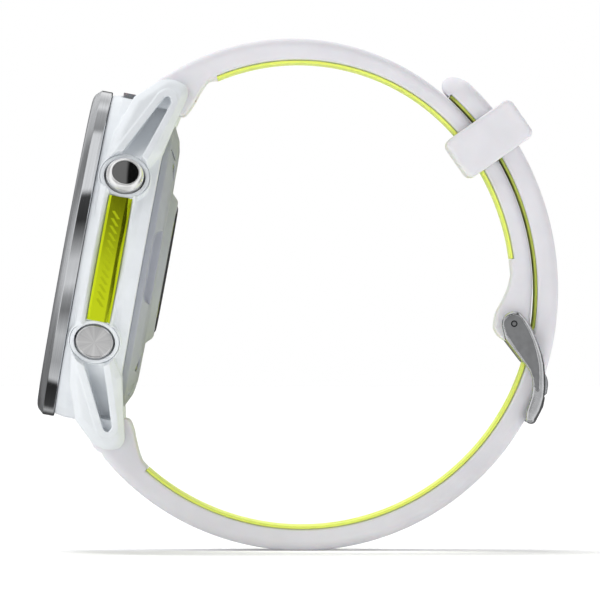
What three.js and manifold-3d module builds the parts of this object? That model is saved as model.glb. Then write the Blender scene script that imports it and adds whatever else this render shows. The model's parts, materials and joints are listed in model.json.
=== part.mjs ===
// GPS running watch, closed on its strap. The round head leans back on the standing loop of the
// strap, so its dial looks towards -X and a little up, and its 12 o'clock side points up.
// Two frames are used. The strap, keeper and buckle are drawn in the loop frame: X and Z lie in
// the plane of the loop and Y runs along the lug bars. The head is drawn in the case frame:
// +X to 3 o'clock, +Y to 12 o'clock, +Z out of the dial. All sizes are millimetres.

import * as THREE from "three";
import { mergeVertices } from "three/addons/utils/BufferGeometryUtils.js";
import Module from "manifold-3d";

const wasm = await Module();
wasm.setup();

// ---- Driving dimensions -------------------------------------------------------------------

// Head on the loop.
const HEAD_TILT = THREE.MathUtils.degToRad(10.4);
const HEAD_X = -26.06;
const HEAD_Z = 40.7;

// Case.
const CASE_RADIUS = 23.35;
const CASE_FRONT = 4.85;
const CASE_BACK = -3.9;
const BORE_RADIUS = 19.6;
const LUG_GAP = 22.5;
const LUG_TIP_HALF_WIDTH = 13.5;
const SHOULDER_HALF_WIDTH = 23.7;
const SHOULDER_TAPER_START = 9.6;
const LUG_END = 27.3;
const BAR_Y = 24.8;
const BAR_Z = -3.3;
const LUG_TIP_RADIUS = 2.4;
const STRAP_ROOT_CLEARANCE = 3.25;
const POCKET_DEPTH = 2.2;

// Glass and bezel.
const BEZEL_RADIUS = 23.5;
const BEZEL_BOTTOM = 5.45;
const SKIRT_RADIUS = 23.0;
const SKIRT_BOTTOM = 5.0;
const LENS_RADIUS = 20.4;
const LENS_TOP = 7.3;
const LENS_BOTTOM = 6.15;

// Rear cover and sensor.
const COVER_RADIUS = 20.4;
const COVER_TOP = -4.2;
const COVER_BACK = -5.9;
const SENSOR_BACK = -7.2;
const SENSOR_RADIUS = 9.2;
const SCREW_CIRCLE = 17.3;
const SCREW_BOSS_RADIUS = 2.5;
const SCREW_ANGLES = [52, 128, 232, 308];
const PORT_Y = -14.9;
const MOTOR_Y = -14.6;
const SPEAKER_Y = 14.3;

// Buttons.
const BUTTON_Z = 0.9;
const BUTTON_SPREAD = 29.5;
const BOSS_RADIUS = 3.55;
const BOSS_FACE = 24.3;
const BUTTON_BORE = 2.95;
const BUTTON_FLOOR = 21.5;
const CAP_RADIUS = 2.75;
const CAP_BACK = 22.5;
const STEM_RADIUS = 0.9;
const STEM_END = 19.1;
const SWITCH_FACE = 18.35;

// Strap loop, as arcs about three centres.
const OVERLAP = new THREE.Vector2(-3.8, 36.5);
const UPPER_OUTER = 36.9;
const UPPER_INNER = 34.0;
const UPPER_OUTER_CREST = { angle: 45, shift: 3.8 };
const UPPER_INNER_CREST = { angle: 37, shift: 4.4 };
const LOWER_CENTRE = new THREE.Vector2(0.2, 35.9);
const LOWER_OUTER = 36.5;
const LOWER_INNER = 33.15;
const TAIL_OUTER = 40.55;
const TAIL_INNER = 37.2;
const TAIL_TURN = -8.5;
const LINER_THICKNESS = 0.6;
const LINER_GAP = 0.05;
const ROOT_HALF_WIDTH = 10.95;
const STRAP_HALF_WIDTH = 10.0;
const ROOT_RADIUS = 2.6;
const BAR_RADIUS = 0.75;

// Keeper and buckle.
const KEEPER_ANGLE = 35;
const KEEPER_LENGTH = 6.2;
const KEEPER_INNER = 31.9;
const KEEPER_OUTER = 43.1;
const PIN = new THREE.Vector2(30.45, 31.7);
const PIN_RADIUS = 0.6;
const ARM_INNER_Y = 10.4;
const ARM_THICKNESS = 1.9;
const PANEL_DEPTH = 0.2;
const TONGUE_WIDTH = 2.2;
const HOLE_WIDTH = 3.0;
const HOLE_LENGTH = 4.0;
const HOLE_STEP = 10;
const TONGUE_HOLE_LENGTH = 7.8;
const TONGUE_HOLE_ANGLE = -17.6;

// Longest straight step along a drawn arc, and the sides of the turned pieces.
const ARC_STEP = 1.9;
const CASE_SIDES = 48;
const BUTTON_SIDES = 20;

// ---- Materials ----------------------------------------------------------------------------

const finish = (color, roughness, metalness) => ({ color, roughness, metalness });
const POLYMER = finish(0xdfe4e8, 0.5, 0);
const COVER_GREY = finish(0xa9b0b5, 0.55, 0);
const STRAP_WHITE = finish(0xe6e6ec, 0.65, 0);
const LIME = finish(0xdcf03a, 0.6, 0);
const LIME_METAL = finish(0xc2d81e, 0.35, 0.6);
const BRUSHED = finish(0x9a9d9f, 0.32, 1);
const POLISHED = finish(0xc8ccd0, 0.12, 1);
const STEEL = finish(0x8a8d90, 0.3, 1);
const GLASS = finish(0x0c0e10, 0.05, 0);
const BLACK = finish(0x101214, 0.4, 0);
const RUBBER = finish(0x1c1d1f, 0.8, 0);
const BOARD = finish(0x1d4a34, 0.6, 0);
const GOLD = finish(0xd0a64a, 0.3, 1);
const CELL = finish(0x3c4044, 0.45, 0.2);
const WARM_LENS = finish(0xd8dad6, 0.25, 0);

// ---- Geometry helpers -----------------------------------------------------------------------

const degrees = THREE.MathUtils.degToRad;

function toSolid(geometry) {
  const bare = geometry.clone();
  bare.deleteAttribute("normal");
  bare.deleteAttribute("uv");
  const merged = mergeVertices(bare, 1e-4);
  return new wasm.Manifold(
    new wasm.Mesh({
      numProp: 3,
      vertProperties: merged.attributes.position.array,
      triVerts: new Uint32Array(merged.index.array),
    }),
  );
}

function toGeometry(solid) {
  const mesh = solid.getMesh();
  const geometry = new THREE.BufferGeometry();
  geometry.setAttribute("position", new THREE.BufferAttribute(mesh.vertProperties, 3));
  geometry.setIndex(new THREE.BufferAttribute(mesh.triVerts, 1));
  geometry.computeVertexNormals();
  return geometry;
}

const join = (first, ...others) =>
  others.reduce((solid, other) => solid.add(toSolid(other)), toSolid(first));

const cut = (first, ...others) =>
  others.reduce((solid, other) => solid.subtract(toSolid(other)), toSolid(first));

function box(x0, x1, y0, y1, z0, z1) {
  const geometry = new THREE.BoxGeometry(x1 - x0, y1 - y0, z1 - z0);
  return geometry.translate((x0 + x1) / 2, (y0 + y1) / 2, (z0 + z1) / 2);
}

// A body of revolution about Z from its [radius, height] outline, given in either direction.
function turned(outline, segments) {
  const points = outline.map(([radius, height]) => new THREE.Vector2(radius, height));
  if (THREE.ShapeUtils.area(points) < 0) points.reverse();
  if (outline[0][0] > 0) points.push(points[0].clone());
  return new THREE.LatheGeometry(points, segments).rotateX(Math.PI / 2);
}

// The same, with its axis turned from Z to X.
const turnedAlongX = (outline, segments) => turned(outline, segments).rotateY(Math.PI / 2);

// The same, with its axis turned from Z to Y.
const turnedAlongY = (outline, segments) => turned(outline, segments).rotateX(-Math.PI / 2);

const disc = (radius, z0, z1, segments) =>
  turned([[0, z0], [radius, z0], [radius, z1], [0, z1]], segments);

const ring = (inner, outer, z0, z1, segments) =>
  turned([[inner, z0], [outer, z0], [outer, z1], [inner, z1]], segments);

// Points of an arc in degrees, both ends included, at most `step` apart.
function arc(centre, radius, from, to, step = ARC_STEP) {
  const sweep = degrees(to - from);
  const count = Math.max(2, Math.ceil(Math.abs(sweep) * radius / step));
  return Array.from({ length: count + 1 }, (_, i) => {
    const angle = degrees(from) + sweep * i / count;
    return new THREE.Vector2(
      centre.x + radius * Math.cos(angle),
      centre.y + radius * Math.sin(angle),
    );
  });
}

const at = (x, y) => new THREE.Vector2(x, y);

const polar = (centre, radius, angle) =>
  at(centre.x + radius * Math.cos(degrees(angle)), centre.y + radius * Math.sin(degrees(angle)));

function extruded(points, depth) {
  return new THREE.ExtrudeGeometry(new THREE.Shape(points), { depth, bevelEnabled: false });
}

// A plate from an outline in the XZ plane, `width` wide and centred on `y`.
function sidePlate(points, width, y = 0) {
  return extruded(points, width).rotateX(Math.PI / 2).translate(0, y + width / 2, 0);
}

function roundedOutline(halfX, halfY, radius, step = 0.9) {
  const x = halfX - radius;
  const y = halfY - radius;
  return [
    ...arc(at(x, y), radius, 0, 90, step),
    ...arc(at(-x, y), radius, 90, 180, step),
    ...arc(at(-x, -y), radius, 180, 270, step),
    ...arc(at(x, -y), radius, 270, 360, step),
  ];
}

const roundedBlock = (halfX, halfY, radius, z0, z1) =>
  extruded(roundedOutline(halfX, halfY, radius), z1 - z0).translate(0, 0, z0);

function mesh(name, shape, material, place = [0, 0, 0]) {
  const geometry = shape.isBufferGeometry ? toGeometry(toSolid(shape)) : toGeometry(shape);
  const part = new THREE.Mesh(geometry, new THREE.MeshStandardMaterial(material));
  part.name = name;
  part.position.set(...place);
  return part;
}

// ---- Case ---------------------------------------------------------------------------------

// Side outline of the shoulders and lugs, as [height towards the dial, distance to 12 o'clock].
function shoulderOutline() {
  const tip = at(BAR_Z, BAR_Y);
  const upper = [
    at(4.07, 13.3),
    at(3.4, 18.2),
    at(1.7, 23.3),
    ...arc(tip, LUG_TIP_RADIUS, 48, 200, 1.1),
    at(-3.8, 16.2),
    at(-1.3, 12.4),
  ];
  const lower = upper.map((point) => at(point.x, -point.y)).reverse();
  return [...upper, ...lower];
}

// Outline of the shoulders and lugs seen from the dial.
function planOutline() {
  const corners = [
    [LUG_TIP_HALF_WIDTH, LUG_END],
    [SHOULDER_HALF_WIDTH, SHOULDER_TAPER_START],
  ];
  const right = [
    at(...corners[0]),
    at(...corners[1]),
    at(corners[1][0], -corners[1][1]),
    at(corners[0][0], -corners[0][1]),
  ];
  return [...right, ...right.map((point) => at(-point.x, -point.y))];
}

// An outline of [height, distance] points carried along X from `x0` to `x1`.
function alongX(points, x0, x1) {
  const geometry = extruded(points, x1 - x0);
  const axes = new THREE.Matrix4().makeBasis(
    new THREE.Vector3(0, 0, 1),
    new THREE.Vector3(0, 1, 0),
    new THREE.Vector3(-1, 0, 0),
  );
  return geometry.applyMatrix4(axes).translate(x1, 0, 0);
}

// The triangular pocket in one lug's slanted outer face. `side` is +1 at 3 o'clock and `end` is
// +1 at 12 o'clock. Its floor lies parallel to that face, and its wide end runs up to the boss.
function lugPocket(side, end) {
  const outline = [
    at(2.9, 13.2), at(-2.5, 23.9), at(-2.85, 24.2), at(-3.3, 24.1), at(-3.62, 23.4), at(-0.35, 13.2),
  ];
  const slope = (SHOULDER_HALF_WIDTH - LUG_TIP_HALF_WIDTH) / (LUG_END - SHOULDER_TAPER_START);
  const floor = SHOULDER_HALF_WIDTH - POCKET_DEPTH + slope * SHOULDER_TAPER_START;
  const [x0, x1] = side > 0 ? [floor, floor + 9] : [-floor - 9, -floor];
  const slant = new THREE.Matrix4().makeShear(0, 0, -side * end * slope, 0, 0, 0);
  return alongX(outline.map((point) => at(point.x, end * point.y)), x0, x1).applyMatrix4(slant);
}

// A shape turned about X is moved to a button's place: `angle` is counted from 3 o'clock
// towards 12 o'clock.
const atButton = (geometry, angle) => geometry.rotateZ(degrees(angle)).translate(0, 0, BUTTON_Z);

const BUTTONS = [
  { name: "start_button", angle: BUTTON_SPREAD },
  { name: "back_button", angle: -BUTTON_SPREAD },
  { name: "light_button", angle: 180 - BUTTON_SPREAD },
  { name: "up_button", angle: 180 },
  { name: "down_button", angle: 180 + BUTTON_SPREAD },
];

const barrel = () => turned([
  [0, CASE_BACK], [CASE_RADIUS - 0.6, CASE_BACK], [CASE_RADIUS, CASE_BACK + 0.9],
  [CASE_RADIUS, CASE_FRONT - 0.3], [CASE_RADIUS - 0.4, CASE_FRONT], [0, CASE_FRONT],
], CASE_SIDES);

function caseShoulders() {
  const reach = SHOULDER_HALF_WIDTH + 1;
  const side = toSolid(alongX(shoulderOutline(), -reach, reach));
  const plan = toSolid(extruded(planOutline(), 24).translate(0, 0, -12));
  const gap = LUG_GAP / 2;
  return side
    .intersect(plan)
    .subtract(toSolid(box(-gap, gap, 15, 30, -12, 12)))
    .subtract(toSolid(box(-gap, gap, -30, -15, -12, 12)));
}

const screwPlace = (geometry, angle) => geometry.translate(
  SCREW_CIRCLE * Math.cos(degrees(angle)),
  SCREW_CIRCLE * Math.sin(degrees(angle)),
  0,
);

// The shoulders and the barrel with the pockets and the strip's groove cut into them.
function caseShell() {
  const pockets = [1, -1].flatMap((end) => [lugPocket(1, end), lugPocket(-1, end)]);
  const groove = box(22.6, 26, -9.3, 9.3, -0.86, 2.86);
  return [...pockets, groove].reduce(
    (solid, tool) => solid.subtract(toSolid(tool)),
    caseShoulders().add(toSolid(barrel())),
  );
}

function caseBody() {
  let solid = caseShell();
  for (const { angle } of BUTTONS) {
    const boss = turnedAlongX([
      [0, 20.5], [BOSS_RADIUS, 20.5], [BOSS_RADIUS, BOSS_FACE - 0.25],
      [BOSS_RADIUS - 0.25, BOSS_FACE], [0, BOSS_FACE],
    ], BUTTON_SIDES);
    solid = solid.add(toSolid(atButton(boss, angle)));
  }
  const tools = [disc(BORE_RADIUS, -12, 12, CASE_SIDES)];
  for (const end of [1, -1]) {
    const root = turnedAlongX([
      [0, -LUG_GAP / 2], [STRAP_ROOT_CLEARANCE, -LUG_GAP / 2],
      [STRAP_ROOT_CLEARANCE, LUG_GAP / 2], [0, LUG_GAP / 2],
    ], 24);
    const barHole = turnedAlongX([[0, -12.9], [0.5, -12.9], [0.5, 12.9], [0, 12.9]], 10);
    tools.push(root.translate(0, end * BAR_Y, BAR_Z), barHole.translate(0, end * BAR_Y, BAR_Z));
  }
  tools.push(box(-3.7, 3.7, 19, 25, 1.6, 3.5));
  for (const { angle } of BUTTONS) {
    tools.push(atButton(turnedAlongX([
      [0, 18], [1.05, 18], [1.05, 20.65], [1.6, 20.65], [1.6, BUTTON_FLOOR],
      [BUTTON_BORE, BUTTON_FLOOR], [BUTTON_BORE, 27], [0, 27],
    ], BUTTON_SIDES), angle));
  }
  for (const tool of tools) solid = solid.subtract(toSolid(tool));
  for (const angle of SCREW_ANGLES) {
    solid = solid.add(toSolid(screwPlace(disc(SCREW_BOSS_RADIUS, CASE_BACK, -0.6, 14), angle)));
    solid = solid.subtract(toSolid(screwPlace(disc(0.7, -5, -2.2, 8), angle)));
  }
  return solid;
}

const bezelRing = () => turned([
  [19.4, BEZEL_BOTTOM], [SKIRT_RADIUS, BEZEL_BOTTOM], [SKIRT_RADIUS, SKIRT_BOTTOM],
  [BEZEL_RADIUS - 0.1, SKIRT_BOTTOM], [BEZEL_RADIUS, SKIRT_BOTTOM + 0.1], [BEZEL_RADIUS, 6.45],
  [22.9, 7.2], [22.5, 7.46], [22.0, 7.6], [21.2, 7.54], [20.6, 7.2], [20.6, 5.8], [19.4, 5.8],
], CASE_SIDES);

const lens = () => turned([
  [0, LENS_BOTTOM], [LENS_RADIUS, LENS_BOTTOM], [LENS_RADIUS, LENS_TOP - 0.2],
  [LENS_RADIUS - 0.2, LENS_TOP], [0, LENS_TOP],
], CASE_SIDES);

function rearCover() {
  const plate = turned([
    [0, COVER_TOP], [COVER_RADIUS, COVER_TOP], [COVER_RADIUS, -4.6], [19.6, -5.05], [18.4, -5.6],
    [16.9, COVER_BACK], [11.0, COVER_BACK], [9.9, -7.0], [0, -7.0],
  ], CASE_SIDES);
  const tools = [
    turned([
      [0, -8], [SENSOR_RADIUS + 0.1, -8], [SENSOR_RADIUS + 0.1, -6.1], [8.7, -6.1], [8.7, -4], [0, -4],
    ], 36),
    ring(19.7, 20.1, -4.7, -4, 36),
    box(18.4, 21, -5.4, 5.4, -6.5, -4.95),
    box(-21, -18.4, -5.4, 5.4, -6.5, -4.95),
    roundedBlock(3.9, 2.2, 1.0, -8, -4).translate(0, PORT_Y, 0),
  ];
  for (const angle of SCREW_ANGLES) {
    const hole = turned([[0, -7], [1.45, -7], [1.45, -5.0], [0.7, -5.0], [0.7, -4], [0, -4]], 10);
    tools.push(screwPlace(hole, angle));
  }
  for (const angle of [-59, -62.5, -66]) {
    tools.push(box(18.6, 21, -0.17, 0.17, -6.2, -4.95).rotateZ(degrees(angle)));
  }
  return cut(plate, ...tools);
}

// The window: a flat glass disc, chamfered round its rim.
const sensorWindow = () => turned([
  [0, SENSOR_BACK], [SENSOR_RADIUS - 0.35, SENSOR_BACK], [SENSOR_RADIUS, SENSOR_BACK + 0.3],
  [SENSOR_RADIUS, -6.15], [0, -6.15],
], 36);

function sensorParts() {
  const parts = [
    mesh("sensor_window", sensorWindow(), GLASS),
    mesh("sensor_board", disc(8.3, -5.3, -4.6, 24), BOARD),
    mesh("sensor_emitter", box(-1.2, 1.2, -1.2, 1.2, -5.95, -5.35), WARM_LENS),
  ];
  for (let i = 0; i < 3; i++) {
    const diode = box(4.4, 6.2, -1.3, 1.3, -5.85, -5.35).rotateZ(degrees(30 + 120 * i));
    parts.push(mesh(`photodiode_${i + 1}`, diode, BLACK));
  }
  return parts;
}

function chargingParts() {
  const socket = roundedBlock(3.75, 2.05, 0.9, -5.75, -4.3);
  const hollow = roundedBlock(2.9, 1.2, 0.5, -7, -4.9);
  const parts = [mesh("charging_socket", cut(socket, hollow), BLACK, [0, PORT_Y, 0])];
  for (let i = 0; i < 4; i++) {
    const place = [(i - 1.5) * 1.35, PORT_Y, 0];
    parts.push(mesh(`charging_contact_${i + 1}`, disc(0.32, -5.5, -4.95, 10), GOLD, place));
  }
  return parts;
}

function coverScrews() {
  const screw = turned([
    [0, -5.6], [1.2, -5.6], [1.3, -5.5], [1.3, -5.1], [0.6, -5.05], [0.6, -2.5], [0, -2.4],
  ], 10);
  const driveSocket = disc(0.6, -6.5, -5.3, 6);
  return SCREW_ANGLES.map((angle, i) => {
    const solid = cut(screwPlace(screw.clone(), angle), screwPlace(driveSocket.clone(), angle));
    return mesh(`cover_screw_${i + 1}`, solid, STEEL);
  });
}

// ---- Buttons --------------------------------------------------------------------------------

// Every cap is a disc on a stem. The start cap stands proud and carries a glossy insert.
function capOutline(proud) {
  const stem = [[0, STEM_END], [STEM_RADIUS, STEM_END], [STEM_RADIUS, CAP_BACK]];
  const skirt = [[CAP_RADIUS - 0.2, CAP_BACK], [CAP_RADIUS, CAP_BACK + 0.2]];
  const raised = [[CAP_RADIUS, 24.75], [2.6, 25.1], [2.3, 25.4], [2.0, 25.45], [2.0, 25.0], [0, 25.0]];
  const flush = [[CAP_RADIUS, 24.15], [2.6, 24.35], [2.4, 24.4], [2.3, 24.3], [0, 24.4]];
  return [...stem, ...skirt, ...(proud ? raised : flush)];
}

function buttonParts({ name, angle }) {
  const proud = name === "start_button";
  const cap = turnedAlongX(capOutline(proud), BUTTON_SIDES);
  const seal = turnedAlongX([[0.98, 20.75], [1.5, 20.75], [1.5, 21.3], [0.98, 21.3]], 12);
  const dome = box(17.0, SWITCH_FACE, -1.4, 1.4, -1.1, 1.1);
  const parts = [
    mesh(name, atButton(cap, angle), proud ? POLISHED : BRUSHED),
    mesh(name.replace("button", "seal"), atButton(seal, angle), RUBBER),
    mesh(name.replace("button", "switch"), atButton(dome, angle), STEEL),
  ];
  if (proud) {
    const insert = turnedAlongX([
      [0, 25.05], [1.93, 25.05], [1.93, 25.3], [1.8, 25.42], [0, 25.42],
    ], BUTTON_SIDES);
    parts.push(mesh("start_button_insert", atButton(insert, angle), GLASS));
  }
  return parts;
}

// The lime strip fills the groove between the two bosses. Its ends are hollowed round them.
function accentInsert() {
  const section = [
    at(-0.75, 22.7), at(-0.75, 23.3), at(0.1, 24.0), at(1.9, 24.0), at(2.75, 23.55), at(2.75, 22.7),
  ];
  const strip = extruded(section.map((point) => at(point.y, point.x)), 17.8)
    .rotateX(Math.PI / 2)
    .translate(0, 8.9, 0);
  const ends = [BUTTON_SPREAD, -BUTTON_SPREAD].map((angle) => atButton(
    turnedAlongX([[0, 18], [BOSS_RADIUS + 0.2, 18], [BOSS_RADIUS + 0.2, 28], [0, 28]], BUTTON_SIDES),
    angle,
  ));
  return cut(strip, ...ends);
}

// ---- Inside the case --------------------------------------------------------------------------

function vibrationMotor() {
  const can = turned([
    [0, -2.9], [3.7, -2.9], [3.7, -0.1], [3.4, -0.1], [3.4, -2.6], [0.4, -2.6], [0.4, -0.2], [0, -0.2],
  ], 20);
  const weight = cut(
    turned([[0.5, -2.3], [3.1, -2.3], [3.1, -0.7], [0.5, -0.7]], 20),
    box(-4, 4, 0.9, 4, -3, 0),
  );
  return [
    mesh("motor_can", can, STEEL, [0, MOTOR_Y, 0]),
    mesh("motor_weight", weight, STEEL, [0, MOTOR_Y, 0]),
  ];
}

function innerParts() {
  const speaker = cut(
    roundedBlock(5.2, 2.3, 0.8, -3.0, 0.4),
    roundedBlock(4.2, 1.3, 0.5, -4, -2.3),
  );
  return [
    mesh("display_panel", disc(19.0, 4.7, 6.0, 40), BLACK),
    mesh("lens_gasket", ring(19.55, 20.35, 5.85, 6.1, 32), RUBBER),
    mesh("bezel_gasket", ring(19.8, 22.9, CASE_FRONT + 0.05, 5.4, CASE_SIDES), RUBBER),
    mesh("antenna_ring", ring(17.9, 19.2, 3.5, 4.4, 32), GOLD),
    mesh("main_board", disc(17.4, 2.7, 3.4, 24), BOARD),
    mesh("battery", roundedBlock(11.8, 10.2, 2.6, -3.2, 2.4), CELL),
    mesh("speaker", speaker, BLACK, [0, SPEAKER_Y, 0]),
    mesh("cover_gasket", ring(19.8, 20.0, -4.65, -3.95, 36), RUBBER),
    ...vibrationMotor(),
  ];
}

function flashlightParts() {
  const window = roundedBlock(3.55, 0.85, 0.4, 22.2, 23.75).rotateX(-Math.PI / 2);
  const board = box(-3.2, 3.2, 20.6, 21.6, 1.8, 3.3);
  return [
    mesh("flashlight_window", window.translate(0, 0, 2.55), WARM_LENS),
    mesh("flashlight_board", board, BOARD),
  ];
}

// ---- Lug bars -------------------------------------------------------------------------------

// A fixed bar and, at its 3 o'clock end, the sprung release pin with its finger knob.
function lugBarParts(name, end) {
  const place = (geometry) => geometry.translate(0, end * BAR_Y, BAR_Z);
  const bar = turnedAlongX([
    [0, -12.7], [0.42, -12.7], [0.42, -10.95], [BAR_RADIUS, -10.95], [BAR_RADIUS, 4.4], [0, 4.4],
  ], 16);
  const pin = turnedAlongX([
    [0, 6.0], [BAR_RADIUS, 6.0], [BAR_RADIUS, 10.95], [0.42, 10.95], [0.42, 12.7], [0, 12.7],
  ], 16);
  const knob = box(7.2, 8.6, -0.55, 0.55, -3.65, 0);
  return [
    mesh(`lug_bar_${name}`, place(bar), STEEL),
    mesh(`release_pin_${name}`, join(place(pin), place(knob)), STEEL),
  ];
}

// ---- Head -----------------------------------------------------------------------------------

const HEAD_MATRIX = new THREE.Matrix4()
  .makeBasis(
    new THREE.Vector3(0, -1, 0),
    new THREE.Vector3(Math.sin(HEAD_TILT), 0, Math.cos(HEAD_TILT)),
    new THREE.Vector3(-Math.cos(HEAD_TILT), 0, Math.sin(HEAD_TILT)),
  )
  .setPosition(HEAD_X, 0, HEAD_Z);

// A point of the case frame's YZ plane, in the loop frame's XZ plane.
function headPoint(y, z) {
  const point = new THREE.Vector3(0, y, z).applyMatrix4(HEAD_MATRIX);
  return at(point.x, point.z);
}

function head() {
  const group = new THREE.Group();
  group.add(
    mesh("case_body", caseBody(), POLYMER),
    mesh("bezel_ring", bezelRing(), BRUSHED),
    mesh("lens", lens(), GLASS),
    mesh("rear_cover", rearCover(), COVER_GREY),
    mesh("accent_insert", accentInsert(), LIME_METAL),
    ...sensorParts(),
    ...chargingParts(),
    ...coverScrews(),
    ...innerParts(),
    ...flashlightParts(),
    ...lugBarParts("upper", 1),
    ...lugBarParts("lower", -1),
    ...BUTTONS.flatMap(buttonParts),
  );
  HEAD_MATRIX.decompose(group.position, group.quaternion, group.scale);
  return group;
}

// ---- Straps ---------------------------------------------------------------------------------

// The straps are widest between the lugs and narrow over the first stretch of the loop.
function narrowed(geometry) {
  const position = geometry.getAttribute("position");
  for (let i = 0; i < position.count; i++) {
    const along = THREE.MathUtils.clamp((position.getX(i) + 16) / 14, 0, 1);
    const half = THREE.MathUtils.lerp(ROOT_HALF_WIDTH, STRAP_HALF_WIDTH, along);
    position.setY(i, Math.sign(position.getY(i)) * half);
  }
  return geometry;
}

const strapPlate = (outline) => narrowed(sidePlate(outline, 2));

const upperOuterCentre = polar(OVERLAP, UPPER_OUTER_CREST.shift, UPPER_OUTER_CREST.angle);
const upperInnerCentre = polar(OVERLAP, UPPER_INNER_CREST.shift, UPPER_INNER_CREST.angle);
const UPPER_LINER = { from: 7.5, to: 112 };
const LOWER_LINER = { from: -131.4, to: 47.6 };

// The upper strap's inner face at `depth` into the strap, between two angles.
const upperInnerArc = (depth, from, to) => [
  ...arc(OVERLAP, UPPER_INNER + depth, from, UPPER_INNER_CREST.angle),
  ...arc(upperInnerCentre, UPPER_INNER - UPPER_INNER_CREST.shift + depth,
    UPPER_INNER_CREST.angle, to).slice(1),
];

// The lower strap's inner face at `depth` into the strap, from the lug to the tail.
const lowerInnerArc = (depth, from, to) => [
  ...arc(LOWER_CENTRE, LOWER_INNER + depth, from, TAIL_TURN),
  ...arc(OVERLAP, TAIL_INNER + depth, TAIL_TURN, to).slice(1),
];

function upperStrapOutline() {
  const bar = headPoint(BAR_Y, BAR_Z);
  const bulb = at(PIN.x - 0.25, PIN.y);
  const recess = LINER_THICKNESS + LINER_GAP;
  const crest = UPPER_INNER - UPPER_INNER_CREST.shift;
  return [
    ...arc(bar, ROOT_RADIUS, 256, 106, 1.1),
    ...arc(upperOuterCentre, UPPER_OUTER - UPPER_OUTER_CREST.shift, 121, UPPER_OUTER_CREST.angle),
    ...arc(OVERLAP, UPPER_OUTER, UPPER_OUTER_CREST.angle, 1).slice(1),
    ...arc(bulb, 2.6, 8, -172, 1.1),
    at(28.0, 33.3), at(28.9, 35.0), at(29.7, 36.8),
    polar(OVERLAP, UPPER_INNER, 3.6),
    polar(OVERLAP, UPPER_INNER, UPPER_LINER.from - 0.15),
    ...upperInnerArc(recess, UPPER_LINER.from - 0.15, UPPER_LINER.to + 0.15),
    polar(upperInnerCentre, crest, UPPER_LINER.to + 0.15),
    at(-13.0, 66.3), at(-14.1, 64.9), at(-15.1, 63.1),
    headPoint(21.95, -5.6), headPoint(22.25, -4.0),
  ];
}

function lowerStrapOutline() {
  const bar = headPoint(-BAR_Y, BAR_Z);
  const recess = LINER_THICKNESS + LINER_GAP;
  return [
    ...arc(bar, ROOT_RADIUS, 82, 250, 1.1),
    ...arc(LOWER_CENTRE, LOWER_OUTER, -140.5, TAIL_TURN),
    ...arc(OVERLAP, TAIL_OUTER, TAIL_TURN, 46.8).slice(1),
    polar(OVERLAP, 40.1, 49.2), polar(OVERLAP, 39.3, 50.7), polar(OVERLAP, 38.3, 50.9),
    polar(OVERLAP, 37.6, 50.0), polar(OVERLAP, TAIL_INNER, LOWER_LINER.to + 0.15),
    ...lowerInnerArc(recess, LOWER_LINER.from - 0.15, LOWER_LINER.to + 0.15).reverse(),
    polar(LOWER_CENTRE, LOWER_INNER, LOWER_LINER.from - 0.15),
    at(-22.5, 12.1), at(-23.0, 13.4), at(-23.4, 15.0), at(-23.8, 16.8),
    headPoint(-21.95, -5.6), headPoint(-22.25, -4.0),
  ];
}

const upperLinerOutline = () => [
  ...upperInnerArc(0, UPPER_LINER.from, UPPER_LINER.to),
  ...upperInnerArc(LINER_THICKNESS, UPPER_LINER.from, UPPER_LINER.to).reverse(),
];

const lowerLinerOutline = () => [
  ...lowerInnerArc(0, LOWER_LINER.from, LOWER_LINER.to),
  ...lowerInnerArc(LINER_THICKNESS, LOWER_LINER.from, LOWER_LINER.to).reverse(),
];

// X along the radius at `angle`, Y along the bars and Z along the strap.
const radialFrame = (centre, angle) => new THREE.Matrix4()
  .makeBasis(
    new THREE.Vector3(Math.cos(degrees(angle)), 0, Math.sin(degrees(angle))),
    new THREE.Vector3(0, 1, 0),
    new THREE.Vector3(-Math.sin(degrees(angle)), 0, Math.cos(degrees(angle))),
  )
  .setPosition(centre.x, 0, centre.y);

// The oblong holes of the lower strap. The tongue stands in a longer one, so that it can turn.
function strapHoles() {
  const places = [{ centre: LOWER_CENTRE, angle: TONGUE_HOLE_ANGLE, length: TONGUE_HOLE_LENGTH }];
  for (let i = 1; i <= 6; i++) {
    const angle = TONGUE_HOLE_ANGLE - 2 - i * HOLE_STEP;
    places.push({ centre: LOWER_CENTRE, angle, length: HOLE_LENGTH });
  }
  for (const angle of [0, 10, 20]) {
    places.push({ centre: OVERLAP, angle, length: HOLE_LENGTH });
  }
  return places.map(({ centre, angle, length }) => {
    const outline = roundedOutline(length / 2, HOLE_WIDTH / 2, HOLE_WIDTH / 2 - 0.1, 1.1);
    const tool = extruded(outline, 16).translate(0, 0, 28).rotateY(Math.PI / 2);
    return tool.applyMatrix4(radialFrame(centre, angle));
  });
}

// The channel for a lug bar, and the window through which its knob is reached.
function barChannel(end) {
  const channel = turnedAlongX([[0, -12], [0.85, -12], [0.85, 12], [0, 12]], 16);
  const window = box(5.3, 9.3, -1.0, 1.0, -7, 0);
  return [channel, window].map((tool) =>
    tool.translate(0, end * BAR_Y, BAR_Z).applyMatrix4(HEAD_MATRIX));
}

function upperStrap() {
  const pinHole = turnedAlongY([[0, -15], [0.7, -15], [0.7, 15], [0, 15]], 14);
  const tongueNotch = box(26, 36, -1.6, 1.6, 26, 34.8);
  return cut(
    strapPlate(upperStrapOutline()),
    ...barChannel(1),
    pinHole.translate(PIN.x, 0, PIN.y),
    tongueNotch,
  );
}

const lowerStrap = () => cut(strapPlate(lowerStrapOutline()), ...barChannel(-1), ...strapHoles());

const upperLiner = () => strapPlate(upperLinerOutline());

const lowerLiner = () => cut(strapPlate(lowerLinerOutline()), ...strapHoles());

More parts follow.
